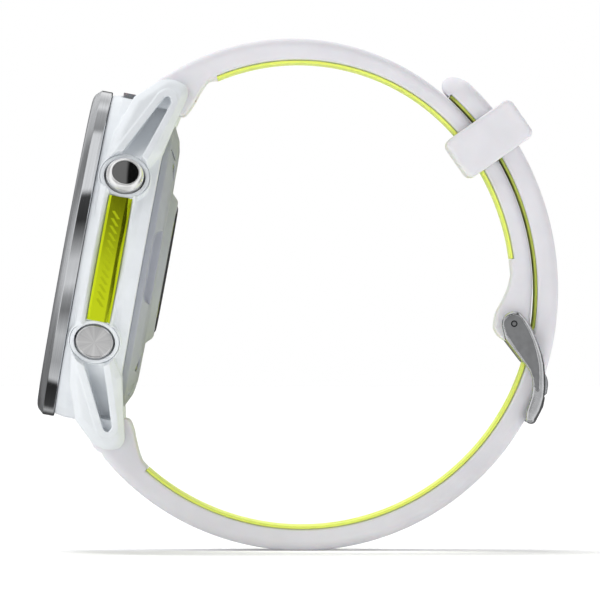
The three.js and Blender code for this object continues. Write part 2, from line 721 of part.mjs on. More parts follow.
function keeperLoop() {
  const middle = (KEEPER_INNER + KEEPER_OUTER) / 2;
  const outer = new THREE.Shape(roundedOutline((KEEPER_OUTER - KEEPER_INNER) / 2, 12.1, 1.6));
  const opening = roundedOutline(3.8, STRAP_HALF_WIDTH + 0.35, 0.8)
    .map((point) => at(point.x - 0.25, point.y));
  outer.holes.push(new THREE.Path(opening));
  const bevel = 0.5;
  const loop = new THREE.ExtrudeGeometry(outer, {
    depth: KEEPER_LENGTH - 2 * bevel,
    bevelThickness: bevel,
    bevelSize: bevel,
    bevelOffset: -bevel,
    bevelSegments: 1,
  });
  return loop
    .translate(middle, 0, bevel - KEEPER_LENGTH / 2)
    .applyMatrix4(radialFrame(OVERLAP, KEEPER_ANGLE));
}

// ---- Buckle ---------------------------------------------------------------------------------

const armOutline = () => [
  ...arc(PIN, 1.8, 196, 62, 0.7),
  at(31.95, 32.6), at(33.24, 30.52), at(33.92, 28.82), at(34.43, 27.29), at(34.72, 25.92),
  at(34.86, 23.6), at(34.75, 21.3), at(34.09, 19.27), at(33.07, 17.76), at(32.64, 17.55),
  at(32.25, 17.75), at(31.98, 18.42), at(32.47, 20.3), at(32.95, 22.34), at(32.98, 23.95),
  at(32.7, 24.8), at(32.2, 25.6), at(31.4, 26.45), at(29.15, 29.4),
];

// The sunk field in the outer face of an arm.
const armPanel = () => [
  at(29.06, 31.38), at(29.4, 30.35), at(30.68, 28.31), at(31.96, 26.43), at(32.73, 25.24),
  at(33.24, 23.88), at(33.66, 22.25), at(33.88, 22.25), at(34.02, 24.22), at(33.92, 25.92),
  at(33.58, 27.63), at(33.07, 29.33), at(32.39, 30.87), at(31.55, 32.23), at(30.35, 32.93),
  at(29.23, 32.31),
];

const crossbarOutline = () => [
  at(32.3, 17.75), at(32.8, 17.3), at(33.4, 17.6), at(34.7, 20.2), at(34.85, 21.2),
  at(33.95, 21.2), at(33.4, 20.0), at(32.85, 18.85),
];

function buckleFrame() {
  const armY = ARM_INNER_Y + ARM_THICKNESS / 2;
  const outerY = ARM_INNER_Y + ARM_THICKNESS;
  const pinHole = turnedAlongY([[0, -15], [0.66, -15], [0.66, 15], [0, 15]], 16);
  const tools = [
    sidePlate(armPanel(), 2 * PANEL_DEPTH, -outerY),
    sidePlate(armPanel(), 2 * PANEL_DEPTH, outerY),
    pinHole.translate(PIN.x, 0, PIN.y),
  ];
  return tools.reduce((solid, tool) => solid.subtract(toSolid(tool)), join(
    sidePlate(armOutline(), ARM_THICKNESS, -armY),
    sidePlate(armOutline(), ARM_THICKNESS, armY),
    sidePlate(crossbarOutline(), 2 * ARM_INNER_Y + 1),
  ));
}

// The outline of a bar of even thickness along a bent centre line.
function ribbon(line, half) {
  const side = (sign) => line.map((point, i) => {
    const before = line[Math.max(0, i - 1)];
    const after = line[Math.min(line.length - 1, i + 1)];
    const along = after.clone().sub(before).normalize();
    return at(point.x - sign * along.y * half, point.y + sign * along.x * half);
  });
  return [...side(1), ...side(-1).reverse()];
}

function buckleTongue() {
  const line = [
    at(30.6, 31.0), at(31.0, 29.3), at(31.7, 27.3), at(33.0, 25.6), at(34.4, 24.4),
    at(34.85, 23.3), at(34.75, 22.0),
  ];
  const eye = turnedAlongY([
    [0, -TONGUE_WIDTH / 2], [1.45, -TONGUE_WIDTH / 2], [1.45, TONGUE_WIDTH / 2], [0, TONGUE_WIDTH / 2],
  ], 20);
  const pinHole = turnedAlongY([[0, -5], [0.72, -5], [0.72, 5], [0, 5]], 14);
  return join(sidePlate(ribbon(line, 0.6), TONGUE_WIDTH), eye.translate(PIN.x, 0, PIN.y))
    .subtract(toSolid(pinHole.translate(PIN.x, 0, PIN.y)));
}

function bucklePin() {
  const end = ARM_INNER_Y + ARM_THICKNESS - 0.1;
  const pin = turnedAlongY([[0, -end], [PIN_RADIUS, -end], [PIN_RADIUS, end], [0, end]], 16);
  return pin.translate(PIN.x, 0, PIN.y);
}

// ---- Assembly -------------------------------------------------------------------------------

const watch = new THREE.Group();
watch.add(
  head(),
  mesh("strap_upper", upperStrap(), STRAP_WHITE),
  mesh("strap_liner_upper", upperLiner(), LIME),
  mesh("strap_lower", lowerStrap(), STRAP_WHITE),
  mesh("strap_liner_lower", lowerLiner(), LIME),
  mesh("keeper_loop", keeperLoop(), STRAP_WHITE),
  mesh("buckle_frame", buckleFrame(), STEEL),
  mesh("buckle_tongue", buckleTongue(), STEEL),
  mesh("buckle_pin", bucklePin(), STEEL),
);

// The watch stands on its strap with the middle of its footprint on the origin.
const bounds = new THREE.Box3().setFromObject(watch);
const centre = bounds.getCenter(new THREE.Vector3());
watch.position.set(-centre.x, -centre.y, -bounds.min.z);

const part = new THREE.Group();
part.add(watch);
export default part;
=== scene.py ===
"""GPS running watch on its buckled strap: the looks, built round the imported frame."""

import itertools
import json
import math

import bmesh
import bpy
import numpy as np
from mathutils import Matrix, Vector

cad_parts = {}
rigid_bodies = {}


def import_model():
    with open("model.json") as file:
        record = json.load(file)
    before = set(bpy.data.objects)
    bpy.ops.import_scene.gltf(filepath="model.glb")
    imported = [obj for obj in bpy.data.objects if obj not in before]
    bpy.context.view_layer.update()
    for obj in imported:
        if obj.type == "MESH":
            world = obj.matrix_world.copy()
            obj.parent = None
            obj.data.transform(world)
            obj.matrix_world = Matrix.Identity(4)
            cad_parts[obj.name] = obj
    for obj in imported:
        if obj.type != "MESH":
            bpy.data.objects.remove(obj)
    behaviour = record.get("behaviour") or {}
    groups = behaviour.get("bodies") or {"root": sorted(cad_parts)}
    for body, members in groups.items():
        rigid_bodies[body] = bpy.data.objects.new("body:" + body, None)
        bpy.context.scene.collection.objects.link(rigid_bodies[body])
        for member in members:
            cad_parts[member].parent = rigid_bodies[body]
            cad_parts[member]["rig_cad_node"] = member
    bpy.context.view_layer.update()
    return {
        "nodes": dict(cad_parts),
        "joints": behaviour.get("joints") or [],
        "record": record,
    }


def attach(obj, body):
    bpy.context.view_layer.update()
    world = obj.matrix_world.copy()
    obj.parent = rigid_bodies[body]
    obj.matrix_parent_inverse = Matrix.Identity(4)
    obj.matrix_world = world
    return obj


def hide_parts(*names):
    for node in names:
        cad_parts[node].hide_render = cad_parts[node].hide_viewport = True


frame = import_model()
MOUNTS = {m["name"]: m for m in frame["record"]["mounts"]}
JOINTS = {j["name"]: j for j in frame["joints"]}

MM = 0.001
DEG = math.pi / 180

# ---- Sizes in millimetres, as the frame has them ----

CASE_R, BORE_R = 23.35, 19.6
CASE_MIDDLE, CASE_HALF = 0.61, 4.32
FACET_FRONT, FACET_BACK, FACET_SLOPE = 3.45, -2.25, 0.2
COVER_R, COVER_TOP, COVER_BACK, COVER_FLAT_R, COVER_EDGE_R = 20.4, -3.72, -5.92, 16.9, 18.4
NOTCH_HALF, NOTCH_DEPTH, NOTCH_REACH = 5.3, 1.42, 16.6
SENSOR_R, SENSOR_BACK, SENSOR_SEAT_R = 11.0, -7.0, 9.3
LENS_TOP, BEZEL_EDGE = 7.3, 6.5
LUG_GAP, LUG_END, LUG_TIP_HALF = 22.5, 27.3, 13.5
SHOULDER_HALF, TAPER_START = 23.7, 9.6
BAR_Y, BAR_Z = 24.8, -3.3
BUTTON_Z, BOSS_R, BOSS_FACE, BUTTON_BORE, BUTTON_FLOOR = 0.9, 3.55, 24.3, 2.95, 21.5
BUTTONS = {"start": 29.5, "back": -29.5, "light": 150.5, "up": 180, "down": 209.5}
SCREW_CIRCLE, SCREW_ANGLES = 17.3, (52, 128, 232, 308)
PORT_Y = -14.9

OVERLAP = (-3.8, 36.5)
LOWER_CENTRE = (0.2, 35.9)
PIN = (30.45, 31.7)
UPPER_OUTER, UPPER_INNER = 36.9, 34.0
LOWER_OUTER, LOWER_INNER = 36.5, 33.0
TAIL_OUTER, TAIL_INNER, TAIL_TURN = 40.55, 37.2, -8.5
LINER = 0.4
LUG_HALF_WIDTH, STRAP_HALF_WIDTH = 10.95, 10.0

# ---- Frames ----

DIAL = Vector(MOUNTS["screen_face"]["axis"])
THREE_OCLOCK = Vector((0, -1, 0))
TWELVE = DIAL.cross(THREE_OCLOCK)
CASE_ORIGIN = Vector(MOUNTS["screen_face"]["pos_m"]) - DIAL * LENS_TOP * MM
CASE = Matrix.Translation(CASE_ORIGIN) @ Matrix((THREE_OCLOCK, TWELVE, DIAL)).transposed().to_4x4()
KEEPER_PIVOT = Vector(JOINTS["keeper_slide"]["pos_m"])
LOOP = Matrix.Translation(KEEPER_PIVOT - Vector((OVERLAP[0], 0, OVERLAP[1])) * MM)


def moved(x, y, z=0):
    """A shift in millimetres."""
    return Matrix.Translation((x * MM, y * MM, z * MM))


def head_point(y, z):
    """A point of the case frame's YZ plane as (x, z) of the loop frame, in millimetres."""
    p = LOOP.inverted() @ (CASE @ Vector((0, y * MM, z * MM)))
    return p.x / MM, p.z / MM


# ---- Mesh helpers ----


def linked(name, data):
    """A new object in the scene."""
    obj = bpy.data.objects.new(name, data)
    bpy.context.scene.collection.objects.link(obj)
    return obj


def new_object(name, verts, faces, place):
    """A mesh object from millimetre points, set at a frame."""
    mesh = bpy.data.meshes.new(name)
    mesh.from_pydata([tuple(c * MM for c in v) for v in verts], [], faces)
    mesh.update()
    obj = linked(name, mesh)
    obj.matrix_world = place
    soften(obj)
    return obj


def soften(obj, angle=40):
    """Shades smooth, with sharp edges over an angle."""
    obj.data.shade_smooth()
    obj.data.set_sharp_from_angle(angle=angle * DEG)


def closed_object(name, verts, faces, place):
    """A mesh object whose faces all turn outwards."""
    obj = new_object(name, verts, faces, place)
    bm = bmesh.new()
    bm.from_mesh(obj.data)
    bmesh.ops.recalc_face_normals(bm, faces=bm.faces)
    bm.to_mesh(obj.data)
    bm.free()
    return obj


def tube(rings, n):
    """Faces of a closed tube whose vertices come in rings of n."""
    sides = [(i, (i + 1) % n) for i in range(n)]
    faces = [[k + i, k + j, k + n + j, k + n + i] for k in range(0, (rings - 1) * n, n) for i, j in sides]
    return faces + [list(range(n)), list(range((rings - 1) * n, rings * n))]


def turned(name, outline, place, sides=192):
    """A body of revolution about Z from its closed or axis-ended [radius, height] outline."""
    verts, faces, rings = [], [], []
    for radius, height in outline:
        if radius < 1e-6:
            rings.append([len(verts)])
            verts.append((0, 0, height))
            continue
        rings.append(list(range(len(verts), len(verts) + sides)))
        for i in range(sides):
            a = 2 * math.pi * i / sides
            verts.append((radius * math.cos(a), radius * math.sin(a), height))
    closed = outline[0][0] > 1e-6
    pairs = list(zip(rings, rings[1:])) + ([(rings[-1], rings[0])] if closed else [])
    for low, high in pairs:
        for i in range(sides):
            j = (i + 1) % sides
            quad = [low[i % len(low)], low[j % len(low)], high[j % len(high)], high[i % len(high)]]
            faces.append([v for k, v in enumerate(quad) if v not in quad[:k]])
    obj = closed_object(name, verts, faces, place)
    soften(obj, 25)
    return obj


def apply_modifiers(obj):
    deps = bpy.context.evaluated_depsgraph_get()
    mesh = bpy.data.meshes.new_from_object(obj.evaluated_get(deps))
    obj.modifiers.clear()
    obj.data = mesh


def carve(obj, tools, angle):
    """Cuts the tools out of an object, removes them and shades what is left."""
    for tool in tools:
        cut = obj.modifiers.new("cut", "BOOLEAN")
        cut.operation = "DIFFERENCE"
        cut.solver = "EXACT"
        cut.object = tool
    apply_modifiers(obj)
    for tool in tools:
        bpy.data.objects.remove(tool)
    soften(obj, angle)


def arc(centre, radius, start, end, count):
    """Points of an arc, angles in degrees, both ends included."""
    angles = np.radians(np.linspace(start, end, count))
    return [(centre[0] + radius * math.cos(a), centre[1] + radius * math.sin(a)) for a in angles]


def polar(centre, radius, angle):
    return centre[0] + radius * math.cos(angle * DEG), centre[1] + radius * math.sin(angle * DEG)


def prism(name, outline, low, high, place, axis="y"):
    """An outline carried along one axis: (x, z) along Y, (x, y) along Z or (z, y) along X."""
    spread = {
        "y": lambda p, h: (p[0], h, p[1]),
        "z": lambda p, h: (p[0], p[1], h),
        "x": lambda p, h: (h, p[1], p[0]),
    }[axis]
    n = len(outline)
    verts = [spread(p, low) for p in outline] + [spread(p, high) for p in outline]
    faces = [list(range(n)), list(range(n, 2 * n))]
    faces += [[i, (i + 1) % n, n + (i + 1) % n, n + i] for i in range(n)]
    return closed_object(name, verts, faces, place)


# ---- Fields: smooth solids from distance functions ----


def blend_min(a, b, k):
    h = np.clip(0.5 + 0.5 * (b - a) / k, 0, 1)
    return b * (1 - h) + a * h - k * h * (1 - h)


def blend_max(a, b, k):
    return -blend_min(-a, -b, k)


def polygon_distance(px, py, points):
    """Signed distance to a closed outline, negative inside."""
    best = np.full(np.broadcast(px, py).shape, 1e9, np.float32)
    sign = np.ones_like(best)
    for (ax, ay), (bx, by) in zip(points, points[1:] + points[:1]):
        ex, ey = bx - ax, by - ay
        wx, wy = px - ax, py - ay
        t = np.clip((wx * ex + wy * ey) / (ex * ex + ey * ey), 0, 1)
        best = np.minimum(best, (wx - t * ex) ** 2 + (wy - t * ey) ** 2)
        above = (py >= ay) & (py < by) & (ex * wy < ey * wx)
        below = (py < ay) & (py >= by) & (ex * wy > ey * wx)
        sign = np.where(above | below, -sign, sign)
    return (sign * np.sqrt(best)).astype(np.float32)


def box_distance(u, v, half_u, half_v, radius):
    """Distance to a rounded rectangle."""
    qu, qv = abs(u) - half_u + radius, abs(v) - half_v + radius
    outside = np.hypot(np.maximum(qu, 0), np.maximum(qv, 0))
    return outside + np.minimum(np.maximum(qu, qv), 0) - radius


def segment_distance(u, v, start, end):
    """Distance to a straight line between two points."""
    eu, ev = end[0] - start[0], end[1] - start[1]
    t = np.clip(((u - start[0]) * eu + (v - start[1]) * ev) / (eu * eu + ev * ev), 0, 1)
    return np.hypot(u - start[0] - t * eu, v - start[1] - t * ev)


def skin(values, low, step):
    """Vertices and quads of the zero level of a sampled field, by averaged edge crossings."""
    inside = values < 0
    cells = tuple(n - 1 for n in values.shape)
    corners = list(itertools.product((0, 1), repeat=3))

    def shifted(array, corner):
        return array[tuple(slice(c, c + n) for c, n in zip(corner, cells))]

    count = sum(shifted(inside, c).astype(np.uint8) for c in corners)
    places = np.argwhere((count > 0) & (count < 8))
    index = np.full(cells, -1, np.int32)
    index[tuple(places.T)] = np.arange(len(places))
    at_corner = {c: values[tuple((places + c).T)] for c in corners}
    total = np.zeros((len(places), 3))
    hits = np.zeros(len(places))
    for c in corners:
        for axis in range(3):
            if c[axis]:
                continue
            d = tuple(1 if i == axis else c[i] for i in range(3))
            a, b = at_corner[c], at_corner[d]
            crosses = (a < 0) != (b < 0)
            t = np.where(crosses, a / np.where(crosses, a - b, 1), 0)
            point = np.array(c, float) + t[:, None] * np.eye(3)[axis]
            total += point * crosses[:, None]
            hits += crosses
    verts = np.array(low) + step * (places + total / hits[:, None])
    quads = []
    for axis in range(3):
        u, v = (axis + 1) % 3, (axis + 2) % 3
        first = np.take(inside, range(values.shape[axis] - 1), axis)
        second = np.take(inside, range(1, values.shape[axis]), axis)
        spots = np.argwhere(first != second)
        spots = spots[(spots[:, u] > 0) & (spots[:, v] > 0)]
        eu, ev = np.eye(3, dtype=int)[u], np.eye(3, dtype=int)[v]
        around = [index[tuple((spots - o).T)] for o in (0 * eu, eu, eu + ev, ev)]
        quad = np.stack(around, 1)
        goes_in = second[tuple(spots.T)]
        quad[goes_in] = quad[goes_in][:, ::-1]
        quads.append(quad)
    quads = np.concatenate(quads)
    return verts, quads[(quads >= 0).all(1)]


def sculpted(name, field, low, high, step, place):
    """An object from a distance field, sampled between two millimetre corners."""
    axes = [np.arange(l - 2 * step, h + 2.5 * step, step, dtype=np.float32) for l, h in zip(low, high)]
    x, y, z = np.ix_(*axes)
    values = np.broadcast_to(field(x, y, z), tuple(len(a) for a in axes))
    verts, quads = skin(values, [a[0] for a in axes], step)
    mesh = bpy.data.meshes.new(name)
    mesh.vertices.add(len(verts))
    mesh.vertices.foreach_set("co", (verts * MM).astype(np.float32).ravel())
    mesh.loops.add(4 * len(quads))
    mesh.loops.foreach_set("vertex_index", quads.astype(np.int32).ravel())
    mesh.polygons.add(len(quads))
    mesh.polygons.foreach_set("loop_start", np.arange(0, 4 * len(quads), 4, dtype=np.int32))
    mesh.update(calc_edges=True)
    mesh.validate()
    obj = linked(name, mesh)
    obj.matrix_world = place
    mesh.shade_smooth()
    return obj


# ---- Materials ----


PLACE = "place"


def settle(obj):
    """Puts a piece's place into its mesh, as the CAD nodes have it, and keeps the millimetre
    coordinates of its own frame as the attribute that its material reads."""
    if obj.modifiers:
        apply_modifiers(obj)
    mesh = obj.data
    points = np.empty(3 * len(mesh.vertices), np.float32)
    mesh.vertices.foreach_get("co", points)
    kept = mesh.attributes.get(PLACE) or mesh.attributes.new(PLACE, "FLOAT_VECTOR", "POINT")
    kept.data.foreach_set("vector", points / MM)
    if not obj.get("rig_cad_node"):
        mesh.transform(obj.matrix_world)
        obj.matrix_world = Matrix.Identity(4)


class Graph:
    """The nodes of a material or a world."""

    def __init__(self, owner):
        owner.use_nodes = True
        self.nodes = owner.node_tree.nodes
        self.links = owner.node_tree.links

    def node(self, kind, inputs=(), **settings):
        made = self.nodes.new("ShaderNode" + kind)
        for key, value in settings.items():
            setattr(made, key, value)
        for key, value in dict(inputs).items():
            if isinstance(value, bpy.types.NodeSocket):
                self.links.new(value, made.inputs[key])
            else:
                made.inputs[key].default_value = value
        return made

    def math(self, operation, *values):
        return self.node("Math", dict(enumerate(values)), operation=operation).outputs[0]

    def mixed(self, factor, first, second):
        made = self.node("Mix", {"Factor": factor, "A": first, "B": second}, data_type="RGBA")
        return made.outputs["Result"]


class Paint(Graph):
    """A Principled material whose nodes work in a piece's own millimetres."""

    def __init__(self, name, **sockets):
        self.material = bpy.data.materials.new(name)
        super().__init__(self.material)
        self.shader = self.nodes["Principled BSDF"]
        for socket, value in sockets.items():
            self.shader.inputs[socket.replace("_", " ")].default_value = value
        self.place = self.node("Attribute", attribute_name=PLACE).outputs["Vector"]
        self.normal = None

    def noise(self, scale, detail=3, vector=None, rough=0.5):
        made = self.node("TexNoise", {
            "Vector": vector or self.place, "Scale": scale, "Detail": detail, "Roughness": rough,
        })
        return made.outputs["Fac"]

    def span(self, value, low, high, start=0.3, end=0.7):
        """A 0 to 1 value stretched over start to end and mapped to low to high."""
        made = self.node("MapRange", {
            "Value": value, "From Min": start, "From Max": end, "To Min": low, "To Max": high,
        })
        return made.outputs["Result"]

    def colour(self, value, first, second):
        mixed = self.mixed(value, (*first, 1), (*second, 1))
        self.links.new(mixed, self.shader.inputs["Base Color"])

    def tint(self, value, rgb, low, high, start=0.3, end=0.7):
        """Varies a display colour between two shares of its brightness."""
        ends = [tuple(min(1, c * share) for c in shade(rgb)) for share in (low, high)]
        self.colour(self.span(value, 0, 1, start, end), *ends)

    def rough(self, value):
        self.links.new(value, self.shader.inputs["Roughness"])

    def bump(self, value, distance):
        """Adds a height in millimetres to those there."""
        inputs = {"Height": value, "Distance": distance * MM, "Strength": 1.0}
        if self.normal:
            inputs["Normal"] = self.normal
        self.normal = self.node("Bump", inputs).outputs["Normal"]
        self.links.new(self.normal, self.shader.inputs["Normal"])


def shade(rgb):
    """Display colour 0-255 to linear."""
    return tuple(((c / 255 + 0.055) / 1.055) ** 2.4 if c > 10 else c / 255 / 12.92 for c in rgb)


def moulded(name, rgb, roughness, grain, **extra):
    """Fine-textured moulded polymer with a slightly mottled tone."""
    p = Paint(name, IOR=1.49, **extra)
    p.tint(p.noise(0.35, 3), rgb, 0.965, 1.02)
    p.rough(p.span(p.noise(1.6, 4), roughness - 0.06, roughness + 0.08))
    p.bump(p.noise(9.0, 3), grain)
    p.bump(p.noise(0.8, 2), grain * 0.8)
    return p.material


def silicone(name, rgb):
    """Matt silicone: a soft sheen, a little light inside and a very fine skin."""
    p = Paint(name, IOR=1.43, Subsurface_Weight=0.12, Subsurface_Scale=0.0006,
              Sheen_Weight=0.12, Sheen_Roughness=0.5)
    p.tint(p.noise(0.22, 4), rgb, 0.96, 1.015)
    p.rough(p.span(p.noise(2.2, 5), 0.5, 0.66))
    p.bump(p.noise(12.0, 3), 0.008)
    p.bump(p.noise(1.1, 3), 0.02)
    return p.material


def brushed(name, rgb, roughness, edge):
    """Metal brushed round Z: long fine lines above a height, and below it the same polished."""
    p = Paint(name, Metallic=1.0, Anisotropic=0.6)
    x, y, z = p.node("SeparateXYZ", {"Vector": p.place}).outputs
    radius = p.math("POWER", p.math("ADD", p.math("MULTIPLY", x, x), p.math("MULTIPLY", y, y)), 0.5)
    lines = p.node("CombineXYZ", {"X": radius, "Y": p.math("ARCTAN2", y, x), "Z": z})
    streaks = p.node("Mapping", {"Vector": lines.outputs[0], "Scale": (14, 1.2, 14)})
    grain = p.noise(1.0, 4, streaks.outputs[0], 0.6)
    p.tint(grain, rgb, 0.86, 1.08)
    above = p.span(z, 0, 1, edge, edge + 0.08)
    share = p.math("MULTIPLY_ADD", above, 0.78, 0.22)
    p.rough(p.math("MULTIPLY", p.span(grain, roughness - 0.07, roughness + 0.1), share))
    p.bump(grain, 0.004)
    return p.material


def satin(name, rgb, roughness, grain, **extra):
    """Bead-blasted steel: a fine even grain, with small bright rubs."""
    p = Paint(name, **{"Metallic": 1.0, **extra})
    p.tint(p.noise(0.9, 5), rgb, 0.9, 1.08)
    p.rough(p.span(p.noise(3.0, 5), roughness - 0.07, roughness + 0.08))
    p.bump(p.noise(22.0, 2), grain)
    return p.material


def turned_disc_painted_rays(name, rgb):
    """A disc turned on a lathe over fine rings, with bright and dark rays from the middle painted into its
    colour as painted reflection.
    """
    p = Paint(name, Metallic=1.0, Anisotropic=0.5)
    x, y, _ = p.node("SeparateXYZ", {"Vector": p.place}).outputs
    rays = p.node("CombineXYZ", {"X": p.math("ARCTAN2", y, x)})
    # Painted reflection: the rays' brightness in the colour stands in for light caught by the turned
    # rings.
    painted_rays = p.noise(1.6, 3, rays.outputs[0], 0.6)
    p.tint(painted_rays, rgb, 0.72, 1.25, 0.35, 0.65)
    length = p.node("VectorMath", {0: p.place}, operation="LENGTH").outputs["Value"]
    p.bump(p.math("SINE", p.math("MULTIPLY", length, 40.0)), 0.0015)
    p.rough(p.span(painted_rays, 0.24, 0.36))
    return p.material


def plain_gloss(name, rgb, roughness, **extra):
    """Glossy surface with faint smears that break its reflection."""
    base = shade(rgb)
    p = Paint(name, **extra)
    stretched = p.node("Mapping", {"Vector": p.place, "Scale": (1, 0.35, 1)}).outputs["Vector"]
    smears = p.noise(0.5, 5, stretched, 0.6)
    p.colour(p.span(smears, 0, 1), base, tuple(min(1, c * 1.12 + 0.002) for c in base))
    p.rough(p.span(smears, roughness * 0.7, roughness * 1.5 + 0.02))
    return p.material


def solder_mask(name):
    """Circuit board: a green mask with lighter tracks in a square grid."""
    p = Paint(name, Specular_IOR_Level=0.5)
    tracks = p.node("TexBrick", {
        "Vector": p.place, "Scale": 1.0, "Mortar Size": 0.06, "Brick Width": 1.7, "Row Height": 0.7,
        "Color1": (0.010, 0.075, 0.040, 1), "Color2": (0.014, 0.095, 0.05, 1),
        "Mortar": (0.05, 0.21, 0.11, 1),
    })
    p.links.new(tracks.outputs["Color"], p.shader.inputs["Base Color"])
    p.rough(p.span(p.noise(3, 3), 0.3, 0.5))
    p.bump(tracks.outputs["Fac"], 0.03)
    return p.material


def clear_glass(name, rgb, roughness):
    """Clear glass with faint wiping marks."""
    p = Paint(name, Transmission_Weight=1.0, IOR=1.5)
    smears = p.noise(0.35, 5, rough=0.6)
    p.tint(smears, rgb, 1.0, 0.96)
    p.rough(p.span(smears, roughness * 0.5, roughness * 1.8))
    return p.material


MATERIALS = {
    "case": moulded("case_polymer", (232, 236, 240), 0.4, 0.01),
    "cover": moulded("cover_polymer", (174, 177, 187), 0.45, 0.01),
    "strap": silicone("strap_silicone", (229, 228, 233)),
    "liner": silicone("liner_silicone", (234, 247, 112)),
    "bezel": brushed("bezel_metal", (214, 216, 219), 0.3, BEZEL_EDGE),
    "steel": satin("satin_steel", (176, 178, 181), 0.3, 0.004),
    "buckle": satin("buckle_steel", (206, 207, 209), 0.2, 0.0002),
    "panel": satin("panel_steel", (166, 167, 169), 0.42, 0.002),
    "ring": satin("button_ring", (254, 254, 254), 0.18, 0.0005, Metallic=0.6, IOR=1.9),
    "cap": turned_disc_painted_rays("turned_cap", (252, 252, 253)),
    "accent": plain_gloss("accent_lacquer", (206, 222, 20), 0.16, Metallic=1.0, Coat_Weight=0.2,
                          Coat_Roughness=0.08),
    "glass": clear_glass("lens_glass", (240, 244, 246), 0.02),
    "black_glass": plain_gloss("black_glass", (8, 8, 9), 0.04, IOR=1.9, Coat_Weight=1.0,
                               Coat_Roughness=0.02),
    "black": moulded("black_plastic", (22, 23, 25), 0.42, 0.01),
    "screen": plain_gloss("screen_black", (5, 5, 6), 0.12),
    "seal": moulded("seal_rubber", (30, 31, 33), 0.7, 0.02),
    "board": solder_mask("solder_mask"),
    "gold": satin("gold_plate", (214, 170, 92), 0.22, 0.002),
    "foil": satin("battery_foil", (96, 100, 106), 0.4, 0.02),
    "window": moulded("light_window", (126, 130, 134), 0.25, 0.004, Subsurface_Weight=0.3,
                      Subsurface_Scale=0.001),
}


def coat(obj, material):
    """Settles a piece and gives it its material."""
    settle(obj)
    obj.data.materials.clear()
    obj.data.materials.append(MATERIALS[material])


def dress(obj, material, body="root", node=()):
    """Gives a piece its material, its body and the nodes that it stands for."""
    coat(obj, material)
    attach(obj, body)
    if node:
        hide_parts(*([node] if isinstance(node, str) else node))
    return obj


# ---- Case ----


def shoulder_outline():
    """Side outline of shoulders and lugs as (height, distance to 12 o'clock)."""
    upper = [(4.07, 13.3), (3.4, 18.2), (1.7, 23.3)]
    upper += arc((BAR_Z, BAR_Y), 2.4, 48, 200, 14)
    upper += [(-3.8, 16.2), (-1.3, 12.4)]
    return upper + [(h, -d) for h, d in reversed(upper)]


def plan_outline():
    right = [(LUG_TIP_HALF, LUG_END), (SHOULDER_HALF, TAPER_START),
             (SHOULDER_HALF, -TAPER_START), (LUG_TIP_HALF, -LUG_END)]
    return right + [(-x, -y) for x, y in right]


def button_frames(x, y, z):
    """For each button: distance from its axis and distance out from the case axis."""
    for angle in BUTTONS.values():
        c, s = polar((0, 0), 1, angle)
        out = x * c + y * s
        across = -x * s + y * c
        yield np.hypot(across, z - BUTTON_Z), out


def rise(value, start, end):
    """0 to 1 between two values, without corners."""
    t = np.clip((value - start) / (end - start), 0, 1)
    return t * t * (3 - 2 * t)


def case_field(x, y, z):
    """The case: a faceted barrel, shoulders that run into the lugs, pockets, groove and bores."""
    radius = np.hypot(x, y)
    facets = FACET_SLOPE * (np.clip(z - FACET_FRONT, 0, 2) + np.clip(FACET_BACK - z, 0, 2))
    barrel = blend_max(radius - CASE_R + facets, abs(z - CASE_MIDDLE) - CASE_HALF, 0.2)
    side = polygon_distance(z, y, shoulder_outline())
    plan = polygon_distance(x, y, plan_outline())
    outline = [(2.9, 13.2), (-2.5, 23.9), (-2.85, 24.2), (-3.3, 24.1), (-3.62, 23.4), (-0.35, 13.2)]
    pocket = polygon_distance(z, abs(y), outline)
    beside = rise(abs(y), 10.0, 14.5)
    face = plan + 0.2 * rise(pocket, 0.95, 1.2) * beside
    shoulders = blend_max(blend_max(side, face, 0.12), (side + face + 0.95) * 0.7071, 0.22)
    gap = np.maximum(abs(x) - LUG_GAP / 2, 15 - abs(y))
    shoulders = blend_max(shoulders, -gap, 0.5)
    solid = blend_min(barrel, shoulders, 0.4)
    slope = (SHOULDER_HALF - LUG_TIP_HALF) / (LUG_END - TAPER_START)
    depth = 1.0 + 2.3 * rise(abs(y), 14.2, 19.0) - 2.2 * rise(abs(y), 22.2, 22.5)
    depth = depth + 0.5 * np.clip(z + 0.65 + 0.357 * (abs(y) - 15), 0, 2)
    floor = SHOULDER_HALF - depth - slope * (abs(y) - TAPER_START) - abs(x)
    solid = blend_max(solid, -blend_max(pocket, floor, 0.3), 0.13)
    flare = 1.25 * np.maximum(x - 22.95, 0)
    groove = blend_max(box_distance(y, z - 0.9, 9.3, 1.76, 0.3) - flare, 22.6 - x, 0.1)
    solid = blend_max(solid, -groove, 0.15)
    lamp = blend_max(box_distance(x, z - 2.55, 3.68, 0.95, 0.5), 21.8 - y, 0.1)
    solid = blend_max(solid, -lamp, 0.12)
    root = np.maximum(np.hypot(abs(y) - BAR_Y, z - BAR_Z) - 3.25, abs(x) - LUG_GAP / 2)
    solid = blend_max(solid, -root, 0.3)
    hole = np.maximum(np.hypot(abs(y) - BAR_Y, z - BAR_Z) - 0.5, abs(x) - 12.9)
    solid = np.maximum(solid, -hole)
    for across, out in button_frames(x, y, z):
        boss = np.maximum(blend_max(across - BOSS_R - 0.22, out - BOSS_FACE + 0.06, 0.2), 20.5 - out)
        solid = blend_min(solid, boss, 0.12)
        seat = np.maximum(across - BOSS_R - 0.01, 22.9 - out)
        solid = blend_max(solid, -seat, 0.1)
        bore = np.maximum(across - BUTTON_BORE, BUTTON_FLOOR - out)
        solid = np.maximum(solid, -bore)
    return np.maximum(solid, BORE_R - radius)


